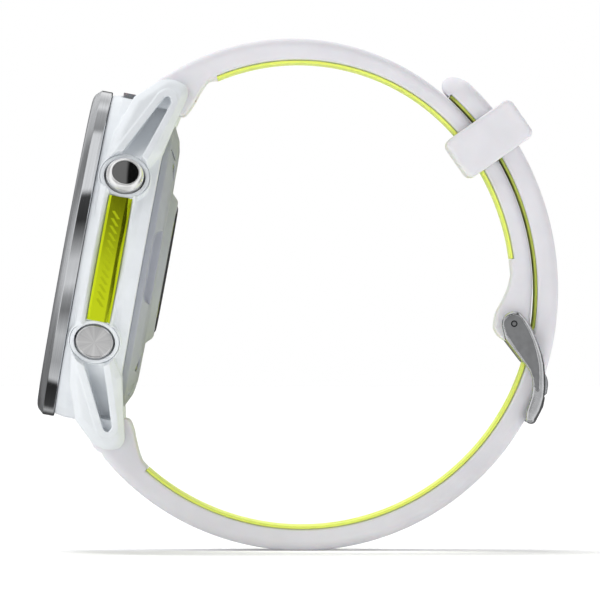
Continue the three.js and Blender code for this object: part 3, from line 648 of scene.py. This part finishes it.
def make_case():
    shell = sculpted("case_shell", case_field, (-25, -28, -6.2), (25, 28, 5.0), 0.13, CASE)
    dress(shell, "case", node="case_body")
    for name, angle in BUTTONS.items():
        collar = turned(f"{name}_collar", [
            (BUTTON_BORE, 22.8), (BOSS_R - 0.04, 22.8), (BOSS_R - 0.04, 24.16), (3.47, 24.25),
            (3.4, 24.29), (3.3, BOSS_FACE), (3.16, BOSS_FACE), (3.12, 24.26), (3.08, 24.26),
            (3.05, BOSS_FACE), (3.0, 24.29), (BUTTON_BORE, 24.24),
        ], button_place(angle), sides=128)
        dress(collar, "case")


def make_bezel():
    bezel = turned("bezel", [
        (19.4, 5.45), (23.0, 5.45), (23.0, 4.98), (23.36, 4.98), (23.45, 5.01), (23.5, 5.08),
        (23.5, 6.46), (23.48, 6.55), (23.42, 6.63), (22.94, 7.16), (22.8, 7.3), (22.6, 7.42),
        (22.3, 7.54), (22.0, 7.6), (21.2, 7.54),
        (20.85, 7.46), (20.66, 7.34), (20.6, 7.2), (20.6, 5.8), (19.4, 5.8),
    ], CASE, sides=360)
    dress(bezel, "bezel", node="bezel_ring")
    lens = turned("cover_lens", [
        (0, 6.15), (20.4, 6.15), (20.4, 7.12), (20.34, 7.22), (20.22, 7.29), (20.05, LENS_TOP),
        (0, LENS_TOP),
    ], CASE, sides=256)
    dress(lens, "glass", node="lens")
    gap = turned("bezel_gap_seal", [(19.8, 5.05), (22.95, 5.05), (22.95, 5.4), (19.8, 5.4)], CASE)
    dress(gap, "seal", node="bezel_gasket")


# ---- Rear cover and sensor ----


def cover_field(x, y, z):
    """The rear cover: a plate with a sloping edge, a raised seat for the sensor and a notch each side."""
    radius = np.hypot(x, y)
    back = (COVER_BACK + 0.3 * np.clip((radius - COVER_FLAT_R) / 1.5, 0, 1)
            + 0.58 * np.clip((radius - COVER_EDGE_R) / 1.2, 0, 2))
    plate = np.maximum(radius - COVER_R, z - COVER_TOP)
    plate = blend_max(plate, (back - z) * 0.9, 0.12)
    bump = blend_max((radius - SENSOR_R + (-5.9 - z)) * 0.7, SENSOR_BACK - z, 0.3)
    bump = np.maximum(bump, z + 4.2)
    solid = blend_min(plate, bump, 0.3)
    solid = blend_max(solid, -np.maximum(radius - SENSOR_SEAT_R, z + 6.1), 0.08)
    solid = np.maximum(solid, 8.7 - radius)
    notch = blend_max(box_distance(y, z + 6.1, NOTCH_HALF, NOTCH_DEPTH, 1.3), NOTCH_REACH - abs(x), 0.2)
    solid = blend_max(solid, -notch, 0.1)
    port = box_distance(x, y - PORT_Y, 3.95, 2.25, 1.1)
    solid = blend_max(solid, -port, 0.2)
    for angle in SCREW_ANGLES:
        screw_x, screw_y = polar((0, 0), SCREW_CIRCLE, angle)
        off = np.hypot(x - screw_x, y - screw_y)
        solid = blend_max(solid, -np.maximum(off - 1.42, z + 5.0), 0.1)
    vents = segment_distance(y, z, (16.8, -4.8), (15.5, -5.5)) - 0.06
    for k in range(3):
        line = segment_distance(y, z, (-16.2 - 0.5 * k, -5.8), (-17.8 - 0.42 * k, -5.0))
        vents = np.minimum(vents, line - 0.09)
    shallow = radius - 17.9 - 2.07 * (z + 5.62)
    return blend_max(solid, -np.maximum(np.maximum(vents, -shallow), 5 - x), 0.05)


def make_back():
    shell = sculpted("rear_shell", cover_field, (-20.6, -20.6, -7.2), (20.6, 20.6, -3.7), 0.12, CASE)
    dress(shell, "cover", node="rear_cover")
    window = turned("sensor_glass", [
        (0, -7.2), (8.5, -7.2), (8.85, -7.17), (9.08, -7.06), (9.2, -6.88), (9.2, -6.15), (0, -6.15),
    ], CASE)
    dress(window, "black_glass", node="sensor_window")
    divider = prism("sensor_divider", [(-0.24, -7.1), (0.24, -7.1), (0.24, -7.215), (-0.24, -7.215)],
                    -8.9, 8.9, CASE, "x")
    dress(divider, "cover")
    for i, angle in enumerate(SCREW_ANGLES):
        place = CASE @ moved(*polar((0, 0), SCREW_CIRCLE, angle))
        screw = turned(f"screw_{i + 1}", [
            (0, -5.6), (1.05, -5.6), (1.22, -5.55), (1.3, -5.45), (1.3, -5.1), (0.6, -5.05),
            (0.6, -2.5), (0, -2.4),
        ], place, sides=48)
        star = [polar((0, 0), 0.42 if a % 60 else 0.62, a) for a in range(0, 360, 30)]
        carve(screw, [prism("star", star, -7, -5.25, place, "z")], 30)
        dress(screw, "steel", node=f"cover_screw_{i + 1}")


# ---- Buttons ----


def button_place(angle):
    """A frame on a button's axis: Z points out along it."""
    spot = CASE @ Matrix.Rotation(angle * DEG, 4, "Z") @ moved(0, 0, BUTTON_Z)
    return spot @ Matrix.Rotation(math.pi / 2, 4, "Y")


def make_buttons():
    stem = [(0, 19.1), (0.9, 19.1), (0.9, 22.5), (2.58, 22.5), (2.66, 22.55), (2.68, 22.65)]
    proud = [(2.68, 24.62), (2.66, 24.76), (2.6, 24.92), (2.48, 25.12), (2.33, 25.28), (2.18, 25.38),
             (2.05, 25.43), (1.95, 25.43), (1.92, 25.38), (1.91, 25.3), (1.91, 25.0), (0, 25.0)]
    flush = [(2.68, 24.16), (2.66, 24.26), (2.6, 24.34), (2.5, 24.38), (2.41, 24.38), (2.36, 24.34),
             (2.34, 24.28), (1.6, 24.32), (0, 24.35)]
    for name, angle in BUTTONS.items():
        start = name == "start"
        cap = turned(f"{name}_cap", stem + (proud if start else flush), button_place(angle), sides=96)
        dress(cap, "ring" if start else "cap", f"{name}_button", f"{name}_button")
    insert = turned("start_insert", [
        (0, 25.05), (1.88, 25.05), (1.88, 25.28), (1.84, 25.31), (1.6, 25.335), (1.2, 25.37),
        (0.8, 25.395), (0.4, 25.41), (0, 25.415),
    ], button_place(BUTTONS["start"]), sides=96)
    dress(insert, "black_glass", "start_button", "start_button_insert")


def make_accent():
    """The lime strip: a faceted bar, a little crowned along its length, with slanted ridges."""
    profile = [(22.7, -0.75), (23.3, -0.75), (23.37, -0.46), (23.94, 0.05), (24.0, 0.13), (24.0, 2.2),
               (23.97, 2.26), (23.72, 2.55), (22.7, 2.55)]
    half_length, crown, steps = 8.95, 0.7, 37
    verts = []
    for y in np.linspace(-half_length, half_length, steps):
        drop = crown * (y / half_length) ** 2
        verts += [(max(x - drop * (x > 23), 22.72), y, z) for x, z in profile]
    strip = closed_object("accent_strip", verts, tube(steps, len(profile)), CASE)
    tools = []
    for angle in (BUTTONS["start"], BUTTONS["back"]):
        tools.append(turned("tool", [(0, 18), (BOSS_R + 0.15, 18), (BOSS_R + 0.15, 28), (0, 28)],
                            button_place(angle), sides=128))
    for k in range(13):
        y = -6.3 + 1.05 * k
        top = 24.0 - crown * (y / half_length) ** 2
        slash = prism("slash", [(0.42, y - 0.52), (0.84, y - 0.57), (1.78, y + 0.47), (1.36, y + 0.52)],
                      top - 0.3, top + 1, CASE, "x")
        tools.append(slash)
    carve(strip, tools, 12)
    dress(strip, "accent", node="accent_insert")


# ---- Straps ----


UPPER_OUTER_CENTRE = polar(OVERLAP, 3.8, 45)
UPPER_INNER_CENTRE = polar(OVERLAP, 4.4, 37)
UPPER_LINER = (7.5, 112.7)
LOWER_LINER = (-131.4, 47.6)


def on_radius(centre, angle):
    """A frame at a centre of the loop, with X out along the radius at an angle."""
    return LOOP @ (moved(centre[0], 0, centre[1]) @ Matrix.Rotation(-angle * DEG, 4, "Y"))


def ray_hit(point, direction, centre, radius):
    """Where a ray from a point inside a circle leaves it."""
    px, py = point[0] - centre[0], point[1] - centre[1]
    b = px * direction[0] + py * direction[1]
    t = -b + math.sqrt(b * b - (px * px + py * py - radius * radius))
    return point[0] + t * direction[0], point[1] + t * direction[1]


def upper_pair(angle, depth):
    """Outer and inner points of the upper strap at an angle seen from the overlap's centre."""
    d = polar((0, 0), 1, angle)
    outer = polar(OVERLAP, UPPER_OUTER, angle) if angle <= 45 else ray_hit(
        OVERLAP, d, UPPER_OUTER_CENTRE, UPPER_OUTER - 3.8)
    inner = polar(OVERLAP, UPPER_INNER + depth, angle) if angle <= 37 else ray_hit(
        OVERLAP, d, UPPER_INNER_CENTRE, UPPER_INNER - 4.4 + depth)
    return outer, inner


def angle_from(centre, point):
    return math.atan2(point[1] - centre[1], point[0] - centre[0]) / DEG


UPPER_END = angle_from(OVERLAP, polar(UPPER_INNER_CENTRE, UPPER_INNER - 4.4, UPPER_LINER[1]))
UPPER_CREST = angle_from(UPPER_OUTER_CENTRE, upper_pair(UPPER_END + 1, 0)[0])


def lower_pair(angle, depth):
    """The same for the lower strap, whose angles count from its own centre below the tail."""
    if angle <= TAIL_TURN:
        return (polar(LOWER_CENTRE, LOWER_OUTER, angle), polar(LOWER_CENTRE, LOWER_INNER + depth, angle))
    return polar(OVERLAP, TAIL_OUTER, angle), polar(OVERLAP, TAIL_INNER + depth, angle)


def resample(points, count):
    pts = np.array(points, float)
    gaps = np.hypot(*np.diff(pts, axis=0).T)
    along = np.concatenate([[0], np.cumsum(gaps)])
    want = np.linspace(0, along[-1], count)
    return list(zip(np.interp(want, along, pts[:, 0]), np.interp(want, along, pts[:, 1])))


def smooth_chain(points, count):
    """A curve through given points, evenly stepped."""
    pts = np.array(points, float)
    ends = np.vstack([2 * pts[0] - pts[1], pts, 2 * pts[-1] - pts[-2]])
    out = []
    for p0, p1, p2, p3 in zip(ends, ends[1:], ends[2:], ends[3:]):
        for t in np.linspace(0, 1, 12, endpoint=False):
            out.append(0.5 * (2 * p1 + (p2 - p0) * t + (2 * p0 - 5 * p1 + 4 * p2 - p3) * t ** 2
                              + (3 * p1 - p0 - 3 * p2 + p3) * t ** 3))
    out.append(pts[-1])
    return resample(out, count)


def half_width(x):
    """Half the strap's width: it narrows from the lugs over 14 mm."""
    along = min(1, max(0, (x + 16) / 14))
    return LUG_HALF_WIDTH + (STRAP_HALF_WIDTH - LUG_HALF_WIDTH) * along


def section(thickness, half, outer_round, inner_round):
    """Outline of a strap's section as (height above the inner face, y)."""
    ro, ri = min(outer_round, thickness * 0.48), min(inner_round, thickness * 0.48)
    pts = []
    for cy, cz, r, start in ((half - ri, ri, ri, -90), (half - ro, thickness - ro, ro, 0)):
        for a in np.linspace(start, start + 90, 7):
            pts.append((cz + r * math.sin(a * DEG), cy + r * math.cos(a * DEG)))
    top = [(thickness, half * f) for f in (0.75, 0.5, 0.25)]
    right = pts + top
    left = [(h, -y) for h, y in reversed(right)]
    bottom = [(0, half * f) for f in (-0.75, -0.5, -0.25, 0, 0.25, 0.5, 0.75)]
    return right + [(thickness, 0)] + left + bottom


def loft(name, stations, outer_round, inner_round):
    """A band through stations of (outer point, inner point, half width)."""
    verts = []
    for outer, inner, half in stations:
        o, i = Vector(outer), Vector(inner)
        thickness = max((o - i).length, 0.02)
        d = (o - i) / thickness
        ring = section(thickness, half, outer_round, inner_round)
        verts += [(i.x + d.x * h, y, i.y + d.y * h) for h, y in ring]
    obj = closed_object(name, verts, tube(len(stations), len(ring)), LOOP)
    soften(obj, 42)
    return obj


def stations_between(pair, start, end, step, depth):
    """Stations of a strap's middle length, at about even angles."""
    points = [pair(angle, depth) for angle in np.linspace(start, end, int((end - start) / step) + 1)]
    return [(outer, inner, half_width(outer[0])) for outer, inner in points]


def root_stations(outer_chain, inner_chain, count):
    """Stations of a strap's end, between an outer and an inner chain of points."""
    outer = resample(outer_chain, count)
    inner = smooth_chain(inner_chain, count)
    return [(o, i, half_width(o[0])) for o, i in zip(outer, inner)]


def upper_strap_stations():
    bar = head_point(BAR_Y, BAR_Z)
    stations = []
    bulb = (PIN[0] - 0.25, PIN[1])
    low = arc(bulb, 2.6, -96, 8, 12) + [upper_pair(1, 0)[0], upper_pair(3.6, 0)[0]]
    left = arc(bulb, 2.6, -96, -172, 9)
    left += [(28.0, 33.3), (28.9, 35.0), (29.7, 36.8), upper_pair(3.6, 0)[1]]
    stations += root_stations(low, left, 26)[:-1]
    recess = LINER + 0.02
    stations += stations_between(upper_pair, 3.6, UPPER_LINER[0] - 0.15, 0.8, 0)
    stations += stations_between(upper_pair, UPPER_LINER[0] - 0.12, UPPER_END, 0.8, recess)
    turn_off = upper_pair(UPPER_END + 0.05, 0)
    stations += [(*turn_off, half_width(turn_off[0][0]))]
    outer = [upper_pair(UPPER_END + 0.05, 0)[0]]
    outer += arc(UPPER_OUTER_CENTRE, UPPER_OUTER - 3.8, UPPER_CREST, 121, 6)
    outer += arc(bar, 2.6, 106, 245, 16)
    inner = [upper_pair(UPPER_END + 0.05, 0)[1], (-13.0, 66.3), (-14.1, 64.9), (-15.1, 63.1),
             head_point(21.95, -5.6), head_point(22.25, -4.0), polar(bar, 2.6, 245)]
    stations += root_stations(outer, inner, 26)[1:]
    return stations


def lower_strap_stations():
    bar = head_point(-BAR_Y, BAR_Z)
    recess = LINER + 0.02
    start = LOWER_LINER[0] - 0.15
    outer = arc(bar, 2.6, 95, 250, 16) + arc(LOWER_CENTRE, LOWER_OUTER, -140.5, start, 6)
    inner = [polar(bar, 2.6, 95), head_point(-22.25, -4.0), head_point(-21.95, -5.6), (-23.8, 16.8),
             (-23.4, 15.0), (-23.0, 13.4), (-22.5, 12.1), lower_pair(start, 0)[1]]
    stations = root_stations(outer, inner, 28)
    stations += stations_between(lower_pair, start + 0.05, TAIL_TURN, 0.8, recess)
    stations += stations_between(lower_pair, TAIL_TURN + 0.3, 46.8, 0.8, recess)
    tip = [(47.7, 40.42, TAIL_INNER + recess), (47.75, 40.41, TAIL_INNER), (48.6, 40.2, 37.24),
           (49.4, 39.95, 37.35), (50.1, 39.6, 37.6), (50.6, 39.2, 37.95), (50.85, 38.8, 38.35)]
    for angle, outer_r, inner_r in tip:
        stations.append((polar(OVERLAP, outer_r, angle), polar(OVERLAP, inner_r, angle), STRAP_HALF_WIDTH))
    return rounded_tip(stations)


def rounded_tip(stations):
    """Rounds the lower strap's end in plan over its last few millimetres."""
    tip = polar(OVERLAP, 38.6, 50.9)
    corner = 6.0
    made = []
    for outer, inner, half in stations:
        to_tip = math.hypot((outer[0] + inner[0]) / 2 - tip[0], (outer[1] + inner[1]) / 2 - tip[1])
        if to_tip < corner and outer[1] > OVERLAP[1]:
            half -= corner - math.sqrt(corner ** 2 - (corner - to_tip) ** 2)
        made.append((outer, inner, max(half, 1.5)))
    return made


def liner_stations(pair, start, end):
    """Stations of a liner, which lies further in from the edges where the straps overlap."""
    made = []
    for angle in np.linspace(start, end, int((end - start) / 0.8)):
        inner, outer = pair(angle, 0)[1], pair(angle, LINER)[1]
        tucked = 1.7 * float(rise(angle, TAIL_TURN - 4, TAIL_TURN + 3)) if pair is lower_pair else 0
        made.append((outer, inner, half_width(inner[0]) - tucked))
    return made


def hole_tools():
    """Oblong cutters with flared mouths, standing on the radius through each hole."""
    places = [(LOWER_CENTRE, -17.6, 7.8)]
    places += [(LOWER_CENTRE, -19.6 - 10 * i, 4.0) for i in range(1, 7)]
    places += [(OVERLAP, a, 4.0) for a in (0, 10, 20)]
    tools = []
    sides = 40
    for centre, angle, length in places:
        low, high = (LOWER_INNER, LOWER_OUTER) if centre is LOWER_CENTRE else (TAIL_INNER, TAIL_OUTER)
        levels = [(low - 1, 0.25), (low + 0.02, 0.2), (low + 0.2, 0), (high - 0.45, 0),
                  (high - 0.12, 0.12), (high + 0.03, 0.42), (high + 1, 0.5)]
        verts = []
        for radius, flare in levels:
            r = 1.5 + flare
            half = length / 2 - 1.5
            for k in range(sides):
                a = 2 * math.pi * (k + 0.5) / sides
                shift = half if math.cos(a) > 0 else -half
                verts.append((radius, r * math.sin(a), shift + r * math.cos(a)))
        tools.append(closed_object("hole", verts, tube(len(levels), sides), on_radius(centre, angle)))
    return tools


def bar_tools(end):
    """The channel for a lug bar and the window for its release knob."""
    channel = prism("channel", arc((BAR_Z, end * BAR_Y), 0.85, 0, 345, 24), -12, 12, CASE, "x")
    y = end * BAR_Y
    window = prism("window", [(-10.3, y - 1), (-10.3, y + 1), (BAR_Z, y + 1), (BAR_Z, y - 1)],
                   5.3, 9.3, CASE, "x")
    return [channel, window]


def make_straps():
    upper = loft("upper_strap", upper_strap_stations(), 1.35, 0.5)
    notch = prism("notch", [(26, 26), (36, 26), (36, 34.8), (26, 34.8)], -1.6, 1.6, LOOP)
    pin_hole = prism("pin_hole", arc(PIN, 0.7, 0, 345, 24), -15, 15, LOOP)
    carve(upper, [notch, pin_hole, *bar_tools(1)], 42)
    dress(upper, "strap", node="strap_upper")
    liner = loft("upper_liner", liner_stations(upper_pair, UPPER_LINER[0], UPPER_END), 0.06, 0.22)
    dress(liner, "liner", node="strap_liner_upper")
    lower = loft("lower_strap", lower_strap_stations(), 1.35, 0.5)
    carve(lower, [*hole_tools(), *bar_tools(-1)], 42)
    dress(lower, "strap", node="strap_lower")
    liner = loft("lower_liner", rounded_tip(liner_stations(lower_pair, *LOWER_LINER)), 0.06, 0.22)
    carve(liner, hole_tools(), 42)
    dress(liner, "liner", node="strap_liner_lower")


# ---- Keeper and buckle ----


def keeper_field(x, y, z):
    outer = blend_max(box_distance(x - 37.5, z, 5.7, 3.2, 1.05), abs(y) - 12.1, 0.75)
    inner = box_distance(x - 37.25, y, 3.8, 10.35, 0.9)
    return blend_max(outer, -inner, 0.3)


def make_keeper():
    place = on_radius(OVERLAP, 35)
    loop = sculpted("keeper", keeper_field, (31.6, -12.3, -3.4), (43.4, 12.3, 3.4), 0.12, place)
    dress(loop, "strap", "keeper", "keeper_loop")


def arm_outline():
    return arc(PIN, 1.8, 196, 62, 12) + [
        (31.95, 32.6), (32.45, 31.95), (33.24, 30.52), (33.92, 28.82), (34.43, 27.29), (34.72, 25.92),
        (34.83, 24.56), (34.86, 22.6), (34.75, 21.3), (34.43, 20.13), (34.09, 19.27), (33.62, 18.42),
        *arc((32.75, 18.2), 0.72, 0, -190, 12), (32.13, 19.27), (32.47, 20.3),
        (32.81, 21.32), (32.95, 22.34), (33.02, 23.19), (32.98, 23.95), (32.7, 24.8), (32.2, 25.6),
        (31.4, 26.45), (29.15, 29.4)]


PANEL = [(29.06, 31.38), (29.4, 30.35), (30.68, 28.31), (31.96, 26.43), (32.73, 25.24),
         (33.24, 23.88), (33.62, 22.3), (33.76, 22.15), (33.9, 22.34), (34.02, 24.22), (33.92, 25.92),
         (33.58, 27.63), (33.07, 29.33), (32.39, 30.87), (31.55, 32.23), (31.0, 32.75), (30.35, 32.93),
         (29.7, 32.75), (29.23, 32.31), (29.02, 31.85)]


def buckle_field(x, y, z):
    side = polygon_distance(x, z, arm_outline())
    arm = blend_max(side, abs(abs(y) - 11.35) - 0.95, 0.65)
    panel = np.maximum(polygon_distance(x, z, PANEL), 12.0 - abs(y))
    arm = blend_max(arm, -panel, 0.08)
    bar = polygon_distance(x, z, [
        *arc((32.95, 18.1), 0.65, -150, -30, 8), (34.1, 18.9), (34.6, 19.9), (34.85, 21.2),
        (33.95, 21.2), (33.4, 20.0), (32.85, 18.85)])
    bar = blend_max(bar, abs(y) - 10.9, 0.3)
    solid = blend_min(arm, bar, 0.25)
    return np.maximum(solid, 0.66 - np.hypot(x - PIN[0], z - PIN[1]))


def tongue_field(x, y, z):
    line = smooth_chain([(30.6, 31.0), (31.0, 29.3), (31.7, 27.3), (33.0, 25.6), (34.4, 24.4),
                         (34.85, 23.3), (34.75, 22.0)], 24)
    best = np.full(np.broadcast(x, z).shape, 1e9, np.float32)
    for start, end in zip(line, line[1:]):
        best = np.minimum(best, segment_distance(x, z, start, end))
    eye = np.hypot(x - PIN[0], z - PIN[1]) - 1.45
    side = blend_min(best - 0.58, eye, 0.5)
    solid = blend_max(side, abs(y) - 1.1, 0.35)
    return np.maximum(solid, 0.72 - np.hypot(x - PIN[0], z - PIN[1]))


def make_buckle():
    buckle = sculpted("buckle", buckle_field, (28.3, -12.5, 17.1), (35.4, 12.5, 33.7), 0.11, LOOP)
    dress(buckle, "buckle", "buckle", "buckle_frame")
    for side in (-1, 1):
        sheet = prism("buckle_panel", PANEL, side * 11.9, side * 12.05, LOOP)
        carve(sheet, [prism("eye", arc(PIN, 0.48, 0, 350, 36), -13, 13, LOOP)], 30)
        dress(sheet, "panel", "buckle")
    tongue = sculpted("tongue", tongue_field, (28.8, -1.3, 21.2), (35.7, 1.3, 33.4), 0.09, LOOP)
    dress(tongue, "steel", "tongue", "buckle_tongue")
    place = LOOP @ moved(PIN[0], 0, PIN[1]) @ Matrix.Rotation(-math.pi / 2, 4, "X")
    end = [(0, 12.1), (0.22, 12.1), (0.27, 12.05), (0.28, 11.88), (0.6, 11.85)]
    pin = turned("hinge_pin", [(r, -h) for r, h in end] + end[::-1], place, sides=48)
    dress(pin, "panel", "buckle", "buckle_pin")
    # A thin dark rubber ring in the groove round each pin end: painted shade standing in for the groove's
    # shadow.
    for side in (-1, 1):
        seat = turned("pin_groove_shade", [(0.3, 11.95 * side), (0.47, 11.95 * side), (0.47, 12.07 * side),
                                   (0.3, 12.07 * side)], place, sides=48)
        dress(seat, "seal", "buckle")


# ---- Screen ----


def make_dial():
    """A plain lit face under the lens: minute marks, two hands and a lime ring segment."""
    for name, dim, lit, glow in (
            ("pale_mark", (0.6, 0.63, 0.65), (0.7, 0.72, 0.74), (0.8, 0.85, 0.9, 1)),
            ("lime_mark", (0.5, 0.68, 0.02), (0.6, 0.78, 0.04), (0.6, 0.85, 0.03, 1))):
        mark = Paint(name, Emission_Strength=0.8, Emission_Color=glow)
        mark.colour(mark.span(mark.noise(2.0), 0, 1), dim, lit)
        MATERIALS[name] = mark.material
    z0, z1 = 6.03, 6.07

    def bar(r0, r1, half, angle):
        c, s = polar((0, 0), 1, angle)
        corners = [(r0, -half), (r1, -half), (r1, half), (r0, half)]
        return [(c * u - s * v, s * u + c * v) for u, v in corners]

    def slab(name, outlines, material):
        verts, faces = [], []
        for points in outlines:
            n, base = len(points), len(verts)
            verts += [(x, y, z0) for x, y in points] + [(x, y, z1) for x, y in points]
            faces += [[base + i for i in reversed(range(n))], [base + n + i for i in range(n)]]
            sides = [(i, (i + 1) % n) for i in range(n)]
            faces += [[base + i, base + j, base + n + j, base + n + i] for i, j in sides]
        dress(new_object(name, verts, faces, CASE), material)

    ticks = [bar(17.2, 17.9, 0.1, 6 * k) if k % 5 else bar(16.2, 17.9, 0.28, 6 * k) for k in range(60)]
    slab("minute_marks", ticks, "pale_mark")
    slab("hands", [bar(0.9, 9.0, 0.38, 150), bar(0.9, 14.2, 0.26, 30)], "pale_mark")
    sweep = [polar((0, 0), 15.3, a) for a in range(20, 141, 4)]
    sweep += [polar((0, 0), 14.8, a) for a in range(140, 19, -4)]
    slab("goal_ring", [sweep, bar(-2.5, 15.0, 0.08, -42)], "lime_mark")


# ---- Nodes that stay ----


def dress_nodes():
    """Every CAD node that still shows keeps its shape and gets its own material."""
    by_slot = {
        "seal_rubber": "seal", "circuit_board": "board", "gold_contact": "gold",
        "battery_foil": "foil", "light_window": "window", "black_plastic": "black",
        "satin_steel": "steel", "glass": "black_glass",
    }
    slots = {s["node"]: s["material_slot"] for s in frame["record"]["subparts"]}
    for name, obj in frame["nodes"].items():
        if obj.hide_render:
            continue
        coat(obj, "screen" if name == "display_panel" else by_slot[slots[name]])
        soften(obj, 35)


# ---- Stage ----


FLOOR_HALF = 4000
WATCH_MIDDLE = Vector((0, 0, 0.036))


def make_stage():
    r = FLOOR_HALF
    floor = new_object("floor", [(-r, -r, 0), (r, -r, 0), (r, r, 0), (-r, r, 0)], [[0, 1, 2, 3]],
                       Matrix.Identity(4))
    pale = Paint("floor_white", Roughness=0.9, Emission_Color=(1, 1, 1, 1), Emission_Strength=0.12)
    pale.colour(pale.span(pale.noise(0.02), 0, 1), (0.9, 0.9, 0.9), (0.93, 0.93, 0.93))
    floor.data.materials.append(pale.material)
    floor.visible_glossy = False


def new_light(name, kind, power, direction):
    """A light that shines along a direction and shows in no reflection."""
    data = bpy.data.lights.new(name, kind)
    data.energy = power
    light = linked(name, data)
    light.rotation_euler = direction.to_track_quat("-Z", "Y").to_euler()
    light.visible_glossy = False
    return light


def area_light(name, place, size, power):
    """A soft panel that faces the watch."""
    light = new_light(name, "AREA", power, WATCH_MIDDLE - Vector(place))
    light.data.shape = "RECTANGLE"
    light.data.size, light.data.size_y = size
    light.location = place
    light.visible_camera = False


def grey(level):
    return level, level, level, 1


def make_studio():
    """White behind the object, and round it soft panels with dark gaps for the metal to mirror."""
    world = bpy.data.worlds.new("studio")
    bpy.context.scene.world = world
    graph = Graph(world)
    mixed = graph.mixed

    def ramp(value, stops):
        made = graph.node("ValToRGB", {"Fac": value})
        band = made.color_ramp
        for i, (at, level) in enumerate(stops):
            element = band.elements[i] if i < 2 else band.elements.new(at)
            element.position = at
            element.color = grey(level)
        return made.outputs["Color"]

    coords = graph.node("TexCoord").outputs["Generated"]
    x, y, z = graph.node("SeparateXYZ", {"Vector": coords}).outputs
    left, ahead = graph.math("MULTIPLY", x, -1.0), graph.math("MULTIPLY", y, -1.0)
    over = graph.math("ARCTAN2", z, ahead)
    turn = graph.math("ADD", graph.math("MULTIPLY", over, 1 / 360 / DEG), 0.5)
    middle, right_wall, left_wall, dark = [
        ramp(turn, [(at / 360 + 0.5, level) for at, level in stops])
        for stops in (FRONT_TO_BACK, RIGHT_WALL, LEFT_WALL, DARK_PANEL)]
    seen = mixed(ramp(x, [(0.45, 0), (0.6, 1)]), middle, right_wall)
    seen = mixed(ramp(x, [(0.92, 0), (0.98, 1)]), seen, grey(0.07))
    seen = mixed(ramp(left, [(0.52, 0), (0.64, 1)]), seen, left_wall)
    panel = graph.math("MULTIPLY", dark, ramp(x, [(0.15, 0), (0.19, 1), (0.42, 1), (0.5, 0)]))
    seen = mixed(panel, seen, grey(0.02))
    dome = mixed(ramp(ahead, [(0.5, 0), (0.86, 1)]), ramp(z, [(0.25, 0.95), (0.8, 0.35)]), grey(0.38))
    path = graph.node("LightPath").outputs
    seen = mixed(path["Is Diffuse Ray"], seen, dome)
    back = graph.nodes["Background"].inputs
    graph.links.new(mixed(path["Is Camera Ray"], seen, grey(1)), back["Color"])
    back["Strength"].default_value = 1.0


# Brightness of the studio by angle, from the front over the top to the back, as the metal sees it:
# straight ahead, at the right and at the left; then the dark panel beside the top light.
FRONT_TO_BACK = [
    (-180, 0.04), (-162, 0.08), (-152, 0.5), (-143, 0.06), (-108, 0.03), (-102, 0.75), (-84, 0.5),
    (-70, 0.6), (-60, 0.69), (-50, 0.48), (-40, 0.25), (-30, 0.4), (-20, 0.87), (-10, 0.8), (-4, 0.8),
    (4, 0.5), (14, 0.22), (24, 0.05), (42, 0.07), (47, 0.96), (94, 0.96), (99, 0.36), (110, 0.46),
    (120, 0.52), (128, 0.97), (140, 0.65), (150, 0.82), (160, 1.0), (166, 0.6), (170, 0.04),
]
RIGHT_WALL = [(-180, 0.12), (-130, 0.15), (-100, 0.5), (-60, 0.9), (60, 1.0), (95, 0.8),
              (130, 0.2), (180, 0.12)]
LEFT_WALL = [(-180, 0.3), (-150, 0.3), (-125, 0.2), (-95, 0.14), (-72, 0.5), (-60, 0.95), (60, 1.0),
             (74, 0.5), (96, 0.14), (122, 0.2), (146, 0.45), (180, 0.3)]
DARK_PANEL = [(40, 0), (44, 1), (94, 1), (98, 0)]


def make_lights():
    make_studio()
    area_light("key", (-0.52, -0.36, 0.54), (0.3, 0.3), 1.35)
    area_light("fill", (0.3, -0.95, 0.03), (0.8, 0.5), 0.7)
    top = new_light("top", "SUN", 2.35, Vector((0.12, -0.5, -0.85)))
    top.data.angle = 26 * DEG
    bpy.context.scene.view_settings.view_transform = "Standard"


def make_camera():
    """A long lens at the height of the loop's middle, looking along +Y."""
    data = bpy.data.cameras.new("camera")
    data.sensor_width = 36
    data.lens = 905
    data.clip_start, data.clip_end = 0.1, 20
    camera = linked("camera", data)
    aim = LOOP @ Vector((0, 0, 35.07 * MM))
    camera.location = (aim.x, -2.156, aim.z)
    camera.rotation_euler = (math.pi / 2, 0, 0)
    bpy.context.scene.camera = camera


make_camera()
make_stage()
make_lights()
make_case()
make_bezel()
make_back()
make_buttons()
make_accent()
make_straps()
make_keeper()
make_buckle()
make_dial()
dress_nodes()
